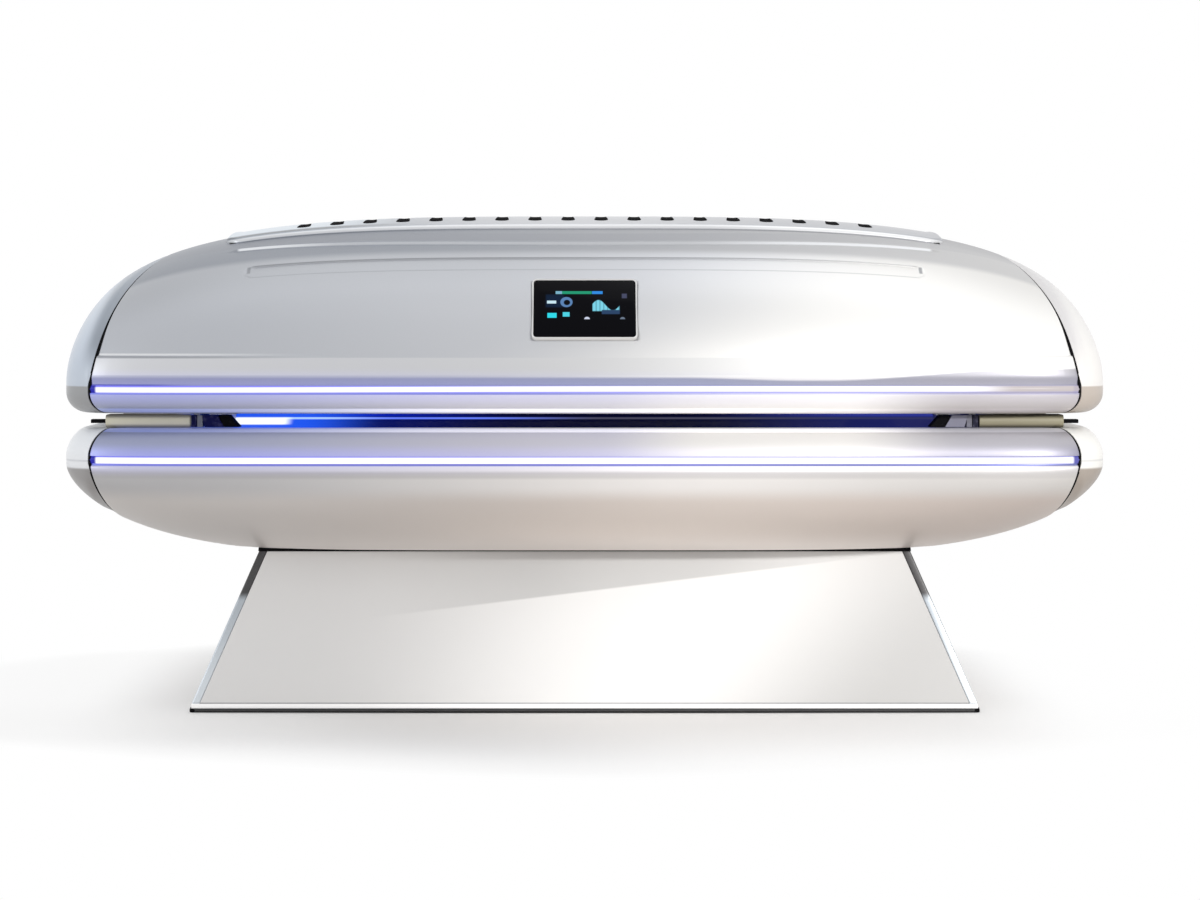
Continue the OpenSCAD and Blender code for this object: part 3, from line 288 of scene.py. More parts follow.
class Finish:
    """A material or world under construction. Every node is added by its method node."""

    def __init__(self, name, kind="materials"):
        self.material = getattr(bpy.data, kind).new(name)
        self.material.use_nodes = True
        self.tree = self.material.node_tree
        self.tree.nodes.clear()

    def node(self, kind, settings=None, values=None, output=0):
        """Adds a node, sets its settings and then its sockets, and returns one output."""
        made = self.tree.nodes.new(kind)
        for name, value in (settings or {}).items():
            setattr(made, name, value)
        for socket, value in (values or {}).items():
            if isinstance(value, Wire):
                self.tree.links.new(value.socket, made.inputs[socket])
                continue
            end = made.inputs[socket]
            end.default_value = (*value, 1) if end.type == "RGBA" else value
        return Wire(self, made.outputs[output]) if made.outputs else None

    def maths(self, operation, *terms):
        """A Math node on one, two or three numbers or wires."""
        return self.node("ShaderNodeMath", {"operation": operation}, dict(enumerate(terms)))

    def mix(self, factor, low, high):
        """A colour that is low at factor 0 and high at factor 1."""
        return self.node("ShaderNodeMix", {"data_type": "RGBA"},
                         {0: factor, 6: low, 7: high}, output=2)

    def place(self):
        """The point's place in the bed's own frame, as wires x, y and z."""
        if not hasattr(self, "spot"):
            point = self.node("ShaderNodeTexCoord", output="Object")
            self.point = point
            self.spot = tuple(
                self.node("ShaderNodeSeparateXYZ", values={0: point}, output=axis)
                for axis in ("X", "Y", "Z"))
        return self.spot

    def noise(self, scale, detail=2.0, stretch=(1, 1, 1)):
        """Noise from 0 to 1 over the object, stretched by a factor along each axis."""
        self.place()
        vector = self.node("ShaderNodeMapping", values={"Vector": self.point, "Scale": stretch})
        return self.node("ShaderNodeTexNoise", values={
            "Vector": vector, "Scale": scale, "Detail": detail})

    def bump(self, height, distance, strength=1.0):
        """A normal from a height wire, where 1 stands for distance metres."""
        return self.node("ShaderNodeBump", values={
            "Height": height, "Distance": distance, "Strength": strength})

    def surface(self, **sockets):
        """Closes the material with one Principled surface; names use _ for a space."""
        values = {name.replace("_", " "): value for name, value in sockets.items()}
        return self.close(self.node("ShaderNodeBsdfPrincipled", values=values))

    def close(self, shader, end="ShaderNodeOutputMaterial"):
        """Links a shader to the output and returns the finished material or world."""
        self.node(end, values={"Surface": shader})
        return self.material


# Outlines of the shells


def share(u, powers):
    """How much of its full size an outline keeps at the share u of the half length."""
    return max(0.0, 1 - abs(u) ** powers[0]) ** (1 / powers[1])


def round_cos(angle, power):
    """Cosine of an angle in degrees on a rounded square of the given power, with its sign."""
    value = math.cos(math.radians(angle))
    return math.copysign(abs(value) ** (2 / power), value)


def round_sin(angle, power):
    """Sine of an angle in degrees on a rounded square of the given power, never below 0."""
    return abs(math.sin(math.radians(angle))) ** (2 / power)


def dome_seam(angle):
    """Share of the half length where the canopy meets its end cap."""
    lean = math.sin(math.radians(angle))
    return SEAM_RIM - 0.052 * lean - 0.05 * lean ** 5


def hull_seam(angle):
    """Share of the half length where the hull meets its end cap."""
    return SEAM_RIM - 0.034 * math.sin(math.radians(angle))


def level_angle(u, angle):
    """The angle of a row that runs level near the rims and follows the dome higher up."""
    front = min(angle, 180 - angle)
    blend = smooth(front, 12, 30)
    reach = min(1.0, round_sin(front, DOME_SECTION) / max(0.01, share(u, ARCH)))
    level = math.degrees(math.asin(reach ** (DOME_SECTION / 2)))
    front = level + (front - level) * blend
    return front if angle <= 90 else 180 - front


def rim_point(u, inset, z, side):
    """A point of the plan outline at a height; side is -1 at the front and 1 at the back."""
    return Vector((u * (HALF_LENGTH - inset), side * (HALF_DEPTH - inset) * share(u, PLAN), z))


def dome_point(u, angle, inset):
    """A point of the canopy; the angle goes from 0 at its front rim to 180 at its back."""
    return Vector((
        u * (HALF_LENGTH - inset),
        -(HALF_DEPTH - inset) * share(u, PLAN) * round_cos(angle, DOME_SECTION),
        DOME_Z + (RISE - inset) * share(u, ARCH) * round_sin(angle, DOME_SECTION)))


def hull_point(u, angle, inset, side):
    """A point of the hull; the angle goes from 0 at its rim to 90 at the keel."""
    drop = (HULL_FULL - inset) * share(u, KEEL) * round_sin(angle, HULL_SECTION)
    return Vector((
        u * (HALF_LENGTH - inset),
        side * (HALF_DEPTH - inset) * share(u, PLAN) * round_cos(angle, HULL_SECTION),
        max(HULL_Z + inset, RIM_Z - drop)))


def keel_angle(u):
    """Angle at which the hull's curve reaches its flat bottom."""
    reach = HULL_HEIGHT / (HULL_FULL * max(0.01, share(u, KEEL)))
    if reach >= 1:
        return KEEL_LIMIT
    return min(KEEL_LIMIT, math.degrees(math.asin(reach ** (HULL_SECTION / 2))))


def smooth(value, low, high):
    """0 at low, 1 at high, smooth between."""
    t = min(1.0, max(0.0, (value - low) / (high - low)))
    return t * t * (3 - 2 * t)


def quarter(distance, radius):
    """Drop of a rounded edge at a distance from it."""
    if distance >= radius:
        return 0.0
    return radius - math.sqrt(radius ** 2 - (radius - max(0.0, distance)) ** 2)


def stadium(along, across, half_length, half_width):
    """Distance outside a bar with round ends; negative inside it."""
    over = max(0.0, abs(along) - (half_length - half_width))
    return math.hypot(over, across) - half_width


def spaced(low, high, count):
    """count + 1 even steps from low to high."""
    return [low + (high - low) * i / count for i in range(count + 1)]


def mirrored(values):
    """The values and their opposites, in order."""
    return sorted({round(side * v, 7) for v in values for side in (-1, 1)})


# Mesh building


def placed(name, content):
    """A new object of the scene that holds a mesh, a lamp or a camera."""
    made = bpy.data.objects.new(name, content)
    bpy.context.scene.collection.objects.link(made)
    return made


def rework(mesh, change):
    """Opens a mesh for editing, lets change work on it and writes it back."""
    work = bmesh.new()
    work.from_mesh(mesh)
    change(work)
    work.to_mesh(mesh)
    work.free()


def face_outwards(work):
    """Turns the faces of a closed solid outwards."""
    bmesh.ops.recalc_face_normals(work, faces=work.faces)


def mesh_object(name, points, faces, sharp=SHELL_SHARP):
    """An object from points and faces, smooth except across edges sharper than sharp."""
    mesh = bpy.data.meshes.new(name)
    mesh.from_pydata(points, [], faces)

    def weld(work):
        bmesh.ops.remove_doubles(work, verts=work.verts, dist=1e-6)
        shade(work, sharp)
    rework(mesh, weld)
    return placed(name, mesh)


def shade(work, sharp=SHELL_SHARP):
    """Shades a mesh smooth except across open edges and those sharper than sharp."""
    limit = math.radians(sharp)
    for face in work.faces:
        face.smooth = True
    for edge in work.edges:
        edge.smooth = len(edge.link_faces) == 2 and edge.calc_face_angle(0) < limit


def sheet(name, rows, wall, dropped=None, bridged=False):
    """A shell: a grid of points thickened inwards.

    dropped(i, j) leaves a face out; bridged closes the last row across its middle.
    """
    count = len(rows[0])
    faces = [
        (i * count + j, (i + 1) * count + j, (i + 1) * count + j + 1, i * count + j + 1)
        for i in range(len(rows) - 1) for j in range(count - 1)
        if not (dropped and dropped(i, j))]
    if bridged:
        last = (len(rows) - 1) * count
        half = count // 2
        faces += [
            (last + j, last + count - 1 - j, last + count - 2 - j, last + j + 1)
            for j in range(half - 1)]
    made = mesh_object(name, [p for row in rows for p in row], faces)
    if wall:
        thicken(made, wall)
    return made


def apply_modifiers(piece):
    """Bakes an object's modifiers into its mesh."""
    bpy.context.view_layer.update()
    evaluated = piece.evaluated_get(bpy.context.evaluated_depsgraph_get())
    mesh = bpy.data.meshes.new_from_object(evaluated)
    piece.modifiers.clear()
    piece.data = mesh


def thicken(piece, wall):
    """Gives a sheet its wall, on the inner side."""
    solid = piece.modifiers.new("wall", "SOLIDIFY")
    solid.thickness = wall
    solid.offset = -1
    solid.use_even_offset = True
    apply_modifiers(piece)
    rework(piece.data, shade)


def other_end(piece, name, axis=0):
    """A mirrored copy of a piece on the other side of the bed."""
    scale = Vector((1, 1, 1))
    scale[axis] = -1
    mesh = piece.data.copy()
    mesh.transform(Matrix.Diagonal(scale).to_4x4())
    mesh.flip_normals()
    return placed(name, mesh)


def bevel(piece, width, segments=2, angle=32, panel=False):
    """Rounds the hard edges of a piece or a carried part; a panel's flat faces join first."""
    weld = piece.modifiers.new("weld", "WELD")
    weld.merge_threshold = 1e-5
    if panel:
        flat = piece.modifiers.new("flat", "DECIMATE")
        flat.decimate_type = "DISSOLVE"
        flat.angle_limit = math.radians(0.5)
    soft = piece.modifiers.new("edges", "BEVEL")
    soft.width = width
    soft.segments = segments
    soft.limit_method = "ANGLE"
    soft.angle_limit = math.radians(angle)
    soft.use_clamp_overlap = True
    even = piece.modifiers.new("normals", "WEIGHTED_NORMAL")
    even.keep_sharp = False
    even.weight = 100
    return piece


def paint(piece, material):
    """Puts one finish on a piece or a carried part."""
    piece.data.materials.clear()
    piece.data.materials.append(material)
    for slot in piece.material_slots:
        slot.material = material
    return piece


def fit(piece, body, material, slot, *nodes):
    """Paints a piece, lets it ride on a body and stand for CAD nodes."""
    paint(piece, material)
    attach(piece, body)
    if nodes:
        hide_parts(*nodes)
    return piece


def dress(nodes, material, edge=0.0, segments=2, panel=False):
    """Finishes carried CAD parts, named with blanks between, and rounds their edges."""
    for node in nodes.split():
        piece = paint(NODES[node], material)
        if edge:
            bevel(piece, edge, segments, panel=panel)


def rounded_outline(half_x, half_y, radius, steps=8):
    """Corner points of a rounded rectangle, going round once."""
    points = []
    for corner, (sx, sy) in enumerate([(1, 1), (-1, 1), (-1, -1), (1, -1)]):
        for k in range(steps + 1):
            angle = math.radians(90 * corner + 90 * k / steps)
            points.append((
                sx * (half_x - radius) + radius * math.cos(angle),
                sy * (half_y - radius) + radius * math.sin(angle)))
    return points


def ring_solid(name, outline, profile, place, closed_profile=True, sharp=40):
    """Carries a profile of (grow, height) pairs round an outline given by outline(grow)."""
    rings = [[place(x, y, height) for x, y in outline(grow)] for grow, height in profile]
    count = len(rings[0])
    points = [p for ring in rings for p in ring]
    pairs = list(zip(range(len(rings)), range(1, len(rings))))
    if closed_profile:
        pairs.append((len(rings) - 1, 0))
    faces = [
        (a * count + k, a * count + (k + 1) % count, b * count + (k + 1) % count, b * count + k)
        for a, b in pairs for k in range(count)]
    if not closed_profile:
        faces.append(tuple(reversed(range(count))))
        faces.append(tuple((len(rings) - 1) * count + k for k in range(count)))
    made = mesh_object(name, points, faces, sharp)
    rework(made.data, face_outwards)
    return made


def prism_faces(count):
    """Faces of a prism whose two rings have count points each."""
    sides = [(k, (k + 1) % count, count + (k + 1) % count, count + k) for k in range(count)]
    return sides + [tuple(reversed(range(count))), tuple(range(count, 2 * count))]


def prisms(name, outlines, low, high):
    """Upright solids between two heights, one for each outline of (x, y) points."""
    points, faces = [], []
    for ring in outlines:
        start = len(points)
        points += [(x, y, z) for z in (low, high) for x, y in ring]
        faces += [tuple(start + k for k in face) for face in prism_faces(len(ring))]
    return mesh_object(name, points, faces)


def level_ring(name, half_x, half_y, radius, profile):
    """A ring of one profile that lies level round a rectangle with round corners."""
    def outline(grow):
        return rounded_outline(half_x + grow, half_y + grow, radius)
    return ring_solid(name, outline, profile, lambda x, y, z: Vector((x, y, z)))


# Finishes


def strip_glow(finish, reach_up, reach_down, level):
    """How much painted violet glow of both strips a silver surface shows, from 0 to level; stronger to
    the left and only at the front.
    """
    x, y, z = finish.place()
    up = z.band(STRIP_Z, DOME_Z, reach_up) + z.band(RIM_Z, BENCH_LIP_Z, reach_down)
    left = x.fade(-0.9, 0.75)
    return up * (0.25 + 0.75 * left) * y.fade(*FRONT_FADE) * level


def silver_finish(name, tone_of, glow_level, roughness=0.42, shine_of=None):
    """Pearl silver paint: fine metallic flake, a faint flow, and a clear coat, with the painted light
    and shade of tone_of, and the strips' painted glow and any painted highlight from shine_of as
    emission.
    """
    finish = Finish(name)
    flake = finish.noise(1400, 1.0)
    flow = finish.noise(2.2, 3.0, (1, 1, 3))
    peel = finish.noise(160, 2.0)
    tone = finish.mix(flake.step(0.45, 0.8) * 0.10, tone_of(finish), colours().flake)
    tone = finish.mix(flow * 0.06, tone, (0.40, 0.41, 0.44))
    # Painted glow of the strips, given as emission.
    lit = strip_glow(finish, 0.040, 0.030, glow_level)
    return finish.surface(
        Base_Color=tone,
        Metallic=0.5,
        Roughness=roughness + (flow - 0.5) * 0.06,
        Coat_Weight=0.06,
        Coat_Roughness=0.2,
        Normal=finish.bump(peel, 0.00012, 0.35),
        Emission_Color=finish.mix(
            lit, shine_of(finish) if shine_of else (0, 0, 0), (0.14, 0.14, 0.78)),
        Emission_Strength=0.8)


def dome_height(finish):
    """Height on the dome as a share of the dome's own height at that place along it."""
    x, _, z = finish.place()
    far = finish.maths("POWER", abs(x) / HALF_LENGTH, ARCH[0])
    arch = finish.maths("POWER", finish.maths("MAXIMUM", 1 - far, 0.001), 1 / ARCH[1])
    return (z - DOME_Z) / (arch * RISE)


def dome_tone_and_painted_light(finish):
    """Silver tone with painted light and shade: cool grey to the left, a painted pool of light near
    white to the right, painted shade over the upper dome, below the channel, on the right shoulder,
    under the deck and beyond its right end, painted highlights on the ridge and above the upper crease,
    and a painted blue glow along the strip.
    """
    x, y, z = finish.place()
    high = dome_height(finish)
    lean = finish.maths("MAXIMUM", z - DOME_Z - 0.03, 0.0) * 2.0
    # Painted light: cool grey on the left, lighter towards the right.
    tone = finish.mix(x.step(-0.9, 0.0), (0.49, 0.51, 0.55), (0.62, 0.635, 0.67))
    # Painted shade from below the channel upwards, on the left.
    shade_below_channel = high.step(0.40, 0.70) * x.fade(-0.3, 0.4) * 0.75
    tone = finish.mix(shade_below_channel, tone, (0.40, 0.415, 0.445))
    # Painted pool of light, near white, its left edge slanting with height.
    tone = finish.mix((x + 0.1 - lean).step(-0.25, 0.45), tone, (0.92, 0.915, 0.90))
    # Painted shade over the upper dome, darkest at the left.
    crown = finish.mix(x.step(-0.6, 1.1), (0.27, 0.29, 0.33), (0.60, 0.595, 0.595))
    # Painted shade on the right shoulder.
    shoulder_shade = high.step(0.45, 0.80) * x.step(0.25, 0.9) * 0.35
    tone = finish.mix(shoulder_shade, tone, (0.55, 0.53, 0.51))
    tone = finish.mix(high.step(0.755, 0.80), tone, crown)
    # Painted shade lines along the channel.
    tone = finish.mix(channel_lines(x, high), tone, (0.22, 0.23, 0.25))
    risen = high - x * x * RIDGE_BEND / RIDGE_BEND_AT ** 2
    # Painted highlight along the top of the ridge.
    ridge = risen.band(0.826, 0.836, 0.006) * abs(x).fade(0.742, 0.752)
    ridge = ridge * (0.40 + 0.5 * x.fade(-0.70, -0.5) + 0.5 * x.step(0.2, 0.5))
    tone = finish.mix(ridge, tone, (0.92, 0.94, 0.97))
    # Painted shade in the band above the ridge, under the deck.
    shade_under_deck = risen.band(0.850, 0.890, 0.012) * (0.35 - 0.2 * x.step(0.0, 0.9))
    tone = finish.mix(shade_under_deck, tone, (0.24, 0.25, 0.29))
    # Painted shade on the crown beyond the deck's right end.
    brow_shade = high.step(0.90, 0.98) * x.step(0.74, 0.80) * 0.7
    tone = finish.mix(brow_shade, tone, (0.30, 0.30, 0.32))
    level = z - DOME_Z
    # Painted light and shade in the band between the two creases: its own tone from left to right.
    tone = finish.mix(level.band(LOWER_CREASE + 0.002, UPPER_CREASE - 0.003, 0.003), tone,
                      finish.mix(x.step(-0.6, 0.8), (0.66, 0.67, 0.70), (0.84, 0.84, 0.83)))
    # Painted shade, bluish, in the band just above the strip.
    line = 0.014 - 0.006 * x.step(0.2, 0.45) + 0.024 * x.step(0.50, 0.92)
    low_band_shade = finish.mix(x.step(-0.9, 0.0), (0.33, 0.35, 0.40), (0.38, 0.41, 0.52))
    low_band_shade = finish.mix(x.step(0.0, 0.9), low_band_shade, (0.36, 0.355, 0.385))
    tone = finish.mix(1 - (level - line).step(0.0, 0.006), tone, low_band_shade)
    # Painted shade line along the upper crease and a painted highlight just above it, at the outer
    # ends.
    outer = abs(x).step(0.55, 0.9) * (1 - x.step(0.0, 0.5) * 0.8)
    tone = finish.mix(level.band(UPPER_CREASE - 0.002, UPPER_CREASE + 0.001, 0.002) * outer * 0.6,
                      tone, (0.22, 0.23, 0.26))
    tone = finish.mix(level.band(UPPER_CREASE + 0.004, UPPER_CREASE + 0.006, 0.002) * outer * 0.6,
                      tone, (0.95, 0.96, 0.97))
    # Painted blue glow of the strip along the dome's lowest edge.
    edge = level.fade(0.0020, 0.0035) * (0.9 - 0.75 * x.step(-0.92, -0.80))
    return finish.mix(edge * y.fade(*FRONT_FADE), tone, (0.03, 0.035, 0.25))


def channel_lines(x, high):
    """Shadow lines along the two edges of the channel and a hook at each of its ends."""
    inside = abs(x).fade(0.700, 0.712)
    lines = high.band(0.742, 0.746, 0.003) * 0.45 + high.band(0.670, 0.673, 0.003) * 0.35
    hooks = abs(x).band(0.711, 0.715, 0.003) * high.band(0.705, 0.735, 0.010)
    return lines * inside + hooks * 0.8


def deck_tone_and_painted_light(finish):
    """Deck tone with painted light: bluish grey in painted shade on the left, lighter to the middle, a
    painted highlight on its crest and a painted shade line below the crest at its left end, and a
    painted highlight along its edge.
    """
    x, _, _ = finish.place()
    high = dome_height(finish)
    # Painted light: darker on the left, lightest in the middle.
    tone = finish.mix(x.step(-0.7, 0.0), (0.33, 0.36, 0.41), (0.61, 0.62, 0.65))
    tone = finish.mix(x.step(0.0, 0.5), tone, (0.50, 0.51, 0.54))
    left = x.fade(-0.60, -0.35)
    # Painted highlight on the crest at the left end.
    tone = finish.mix(left * high.step(0.972, 0.980), tone, (0.72, 0.79, 0.86))
    # Painted shade line just below the crest.
    tone = finish.mix(left * high.band(0.963, 0.968, 0.004) * 0.8, tone, (0.06, 0.07, 0.08))
    # Painted highlight along the deck's edge.
    edge = high.band(0.934, 0.950, 0.006) * (0.6 + 0.4 * x.step(0.2, 0.5))
    return finish.mix(edge, tone, (0.95, 0.96, 0.97))


def lip_tone_and_painted_light(left, middle, bright, right, line=0.0):
    """A lip's tone with painted light from left to right, brightest just right of the middle, with
    painted shade near the bench strip on the right; line is the strength of a painted blue glow under
    the canopy strip.
    """
    def tone_of(finish):
        x, y, z = finish.place()
        # Painted light: tones from left to right, brightest just right of the middle.
        tone = finish.mix(x.step(-0.95, -0.05), left, middle)
        tone = finish.mix(x.step(0.02, 0.26), tone, bright)
        tone = finish.mix(x.step(0.52, 0.80), tone, right)
        # Painted shade near the bench strip, on the right.
        shade_near_strip = z.fade(BENCH_LIP_Z + 0.004, BENCH_LIP_Z + 0.036) * x.step(0.55, 0.95)
        tone = finish.mix(shade_near_strip * 0.55, tone, (0.15, 0.15, 0.19))
        # Painted blue glow of the canopy strip along the lip's top edge.
        edge = z.band(STRIP_Z - 0.0030, STRIP_Z, 0.0012) * (1 - x.step(-0.3, 0.5) * 0.7)
        edge = edge * y.fade(*FRONT_FADE)
        return finish.mix(edge * line, tone, (0.14, 0.18, 0.56))
    return tone_of


def lip_painted_highlight(low, high, fades, end):
    """A painted highlight line along a lip's edge at the gap, given as emission; it changes to end over
    the span fades.
    """
    def shine_of(finish):
        x, y, z = finish.place()
        colour = finish.mix(x.step(-0.95, -0.15), (0.10, 0.13, 0.34), (0.58, 0.58, 0.62))
        colour = finish.mix(x.step(*fades), colour, end)
        line = z.band(low, high, 0.0025) * y.fade(-0.2, 0.0)
        return finish.mix(line, (0, 0, 0), colour)
    return shine_of


def hull_tone_and_painted_light(finish):
    """Warm grey hull with painted light and shade: a lighter upper band, lightest right of the middle,
    painted shade below its bend, darker to the right and lighter along the bottom, a painted shade line
    below the rim, and a painted blue glow of the strip along the rim.
    """
    x, y, z = finish.place()
    # Painted light on the upper band: grey on the left, lightest right of the middle.
    upper = finish.mix(x.step(-0.9, 0.0), (0.56, 0.555, 0.565), (0.92, 0.89, 0.87))
    upper = finish.mix(x.step(0.1, 0.8), upper, (0.67, 0.65, 0.635))
    # Painted shade below the bend, darker to the right.
    lower = finish.mix(x.step(-0.9, 0.1), (0.72, 0.69, 0.67), (0.74, 0.67, 0.62))
    lower = finish.mix(x.step(0.1, 1.0), lower, (0.62, 0.55, 0.51))
    # Painted lighter band along the bottom.
    lower = finish.mix(z.fade(HULL_Z, HULL_Z + 0.05) * 0.5, lower, (0.88, 0.83, 0.80))
    tone = finish.mix(z.step(RIM_Z - 0.085, RIM_Z - 0.045), lower, upper)
    # Painted shade line below the rim.
    shade_line = z.band(RIM_Z - 0.026, RIM_Z - 0.020, 0.008) * (1 - abs(x).step(0.5, 1.0) * 0.4)
    tone = finish.mix(shade_line * 0.30, tone, (0.30, 0.29, 0.30))
    # Painted blue glow of the strip along the rim.
    blue = finish.mix(x.step(0.0, 0.6), (0.12, 0.15, 0.55), (0.05, 0.07, 0.28))
    edge = z.step(RIM_Z - 0.0052, RIM_Z - 0.0038) * y.fade(*FRONT_FADE) * 0.9
    return finish.mix(edge, tone, blue)


def white_gloss(name, colour, roughness=0.22, lift=0.0):
    """Moulded gloss white with a faint flow mark and orange peel; lift is a painted glow, given as
    emission, that brightens it a little.
    """
    finish = Finish(name)
    flow = finish.noise(3.0, 3.0)
    peel = finish.noise(220, 2.0)
    tone = finish.mix(flow * 0.35, colour, scaled(colour, 0.95))
    return finish.surface(
        Base_Color=tone,
        Roughness=roughness + flow * 0.05,
        Coat_Weight=0.4,
        Coat_Roughness=0.05,
        Normal=finish.bump(peel, 0.0001, 0.3),
        Emission_Color=tone,
        Emission_Strength=lift)


def cap_finish(name, top, band, under):
    """Gloss end cap with painted light and shade: the colour of its crown, a band along its seam that
    is painted shade where darker than the crown, its underside in painted shade, and a painted shade
    line just above the bench's rim.
    """
    finish = Finish(name)
    x, _, z = finish.place()
    flow = finish.noise(3.0, 3.0)
    peel = finish.noise(220, 2.0)
    # Painted shade on the faces turned under below each rim.
    underside_shade = z.band(CANOPY_LOW_Z, DOME_Z - 0.004, 0.004) + z.fade(RIM_Z - 0.014, RIM_Z - 0.008)
    lift = finish.maths("MAXIMUM", (z - DOME_Z) / RISE, 0.0)
    seam = (SEAM_RIM - 0.062 * lift) * HALF_LENGTH
    # The band along the seam, painted shade where its colour is darker than the crown's.
    beside = (1 - (abs(x) - seam).step(0.010, 0.040)) * z.step(DOME_Z + 0.02, DOME_Z + 0.10)
    tone = finish.mix(beside, top, band)
    tone = finish.mix(underside_shade, tone, under)
    # Painted shade line just above the bench's rim.
    tone = finish.mix(z.band(RIM_Z + 0.004, RIM_Z + 0.006, 0.002) * 0.3, tone, (0.3, 0.32, 0.36))
    tone = finish.mix(flow * 0.25, tone, scaled(top, 0.93))
    return finish.surface(
        Base_Color=tone,
        Roughness=0.3 + flow * 0.06,
        Specular_IOR_Level=0.35,
        Coat_Weight=0.12,
        Coat_Roughness=0.08,
        Normal=finish.bump(peel, 0.0001, 0.3))


def panel_finish(name, colour, metallic=0.12, shaded=0.0):
    """Powder-coated sheet with a satin clear coat; shaded sets how much is painted on it: shade towards
    the lower right, a dark line along its foot and the hull's shadow across its top.
    """
    finish = Finish(name)
    x, _, z = finish.place()
    grain = finish.noise(900, 1.0)
    flow = finish.noise(1.6, 2.0)
    tone = finish.mix(flow * 0.5, scaled(colour, 0.97), colour)
    # Painted shade towards the lower right.
    right = (x - z * 0.8).step(0.1, 0.65) * 0.95 * shaded
    tone = finish.mix(right, tone, scaled(colour, 0.55))
    # A dark line along the foot.
    foot = z.fade(0.0205, 0.0225) * 0.6 * shaded
    tone = finish.mix(foot, tone, (0.10, 0.11, 0.13))
    # Painted shadow of the hull across the top, from the middle towards the right.
    above = z - SHADOW_Z - (x - SHADOW_X) * SHADOW_SLOPE
    under = above.step(-0.001, 0.004) * x.step(-0.50, -0.05)
    under = under * (1 - x.step(0.2, 0.7) * 0.7) * shaded
    tone = finish.mix(under, tone, scaled(colour, 0.68))
    return finish.surface(
        Base_Color=tone,
        Metallic=metallic,
        Roughness=0.42 + flow * 0.06,
        Coat_Weight=0.12,
        Coat_Roughness=0.3,
        Normal=finish.bump(grain, 0.00008, 0.25))


def metal_finish(name, colour, roughness=0.35, metallic=1.0, brushed=(1, 1, 1), wear=0.25):
    """Bare or painted metal with drawn lines and darker, rougher patches."""
    finish = Finish(name)
    lines = finish.noise(420, 2.0, brushed)
    patch = finish.noise(9, 4.0)
    tone = finish.mix(patch.step(0.5, 0.75) * wear, colour, scaled(colour, 0.6))
    return finish.surface(
        Base_Color=tone,
        Metallic=metallic,
        Roughness=roughness + (lines - 0.5) * 0.16 + patch * 0.08,
        Normal=finish.bump(lines, 0.00006, 0.4))


def plastic_finish(name, colour, roughness=0.42, grain_scale=700, grain_depth=0.00012):
    """Moulded plastic with a fine spark-eroded grain."""
    finish = Finish(name)
    grain = finish.noise(grain_scale, 2.0)
    flow = finish.noise(14, 3.0)
    return finish.surface(
        Base_Color=finish.mix(flow.step(0.35, 0.8) * 0.7, colour, scaled(colour, 1.18, 0.004)),
        Roughness=roughness + (flow - 0.5) * 0.14,
        Normal=finish.bump(grain, grain_depth, 0.5))


def matt_black(name):
    """Black foam and rubber that reflects next to nothing."""
    finish = Finish(name)
    grain = finish.noise(600, 2.0)
    return finish.surface(
        Base_Color=finish.mix(grain, (0.004, 0.004, 0.005), (0.012, 0.012, 0.013)),
        Roughness=0.8 + grain * 0.1,
        Specular_IOR_Level=0.02,
        Normal=finish.bump(grain, 0.0001, 0.3))


def strip_finish(name, base, low, fade):
    """Opal light strip: white along its middle, violet-blue at its edges, dark blue at its ends.

    low is where its white core starts at the left, fade how much it dims near the right end.
    """
    finish = Finish(name)
    x, _, z = finish.place()
    ripple = finish.noise(60, 1.0, (1, 1, 0.1))
    dim = x.step(0.78, 0.90) * fade
    core = (z - x.step(-0.9, 0.2) * fade * 0.0030).band(
        base + low, base + STRIP_HEIGHT - 0.0030 - 0.0020 * fade, 0.0025)
    core = core * (0.92 + ripple * 0.16)
    fringe = finish.mix(x.step(-0.9, 0.5), colours().glow, (0.34, 0.34, 0.78))
    fringe = finish.mix(x.step(0.5, 0.9) * fade, fringe, (0.26, 0.25, 0.33))
    bright = finish.mix(dim, (1, 1, 1), (0.27, 0.23, 0.22))
    end = abs(x).step(HALF_LENGTH * 0.921, HALF_LENGTH * 0.927) * (1 - x.step(0, 1) * fade)
    return finish.surface(
        Base_Color=finish.mix(
            end, finish.mix(dim, (0.20, 0.20, 0.28), (0.22, 0.20, 0.20)), (0.01, 0.01, 0.06)),
        Roughness=0.3,
        Specular_IOR_Level=0.15,
        Emission_Color=finish.mix(end, finish.mix(core, fringe, bright), (0.02, 0.02, 0.35)),
        Emission_Strength=1.0)


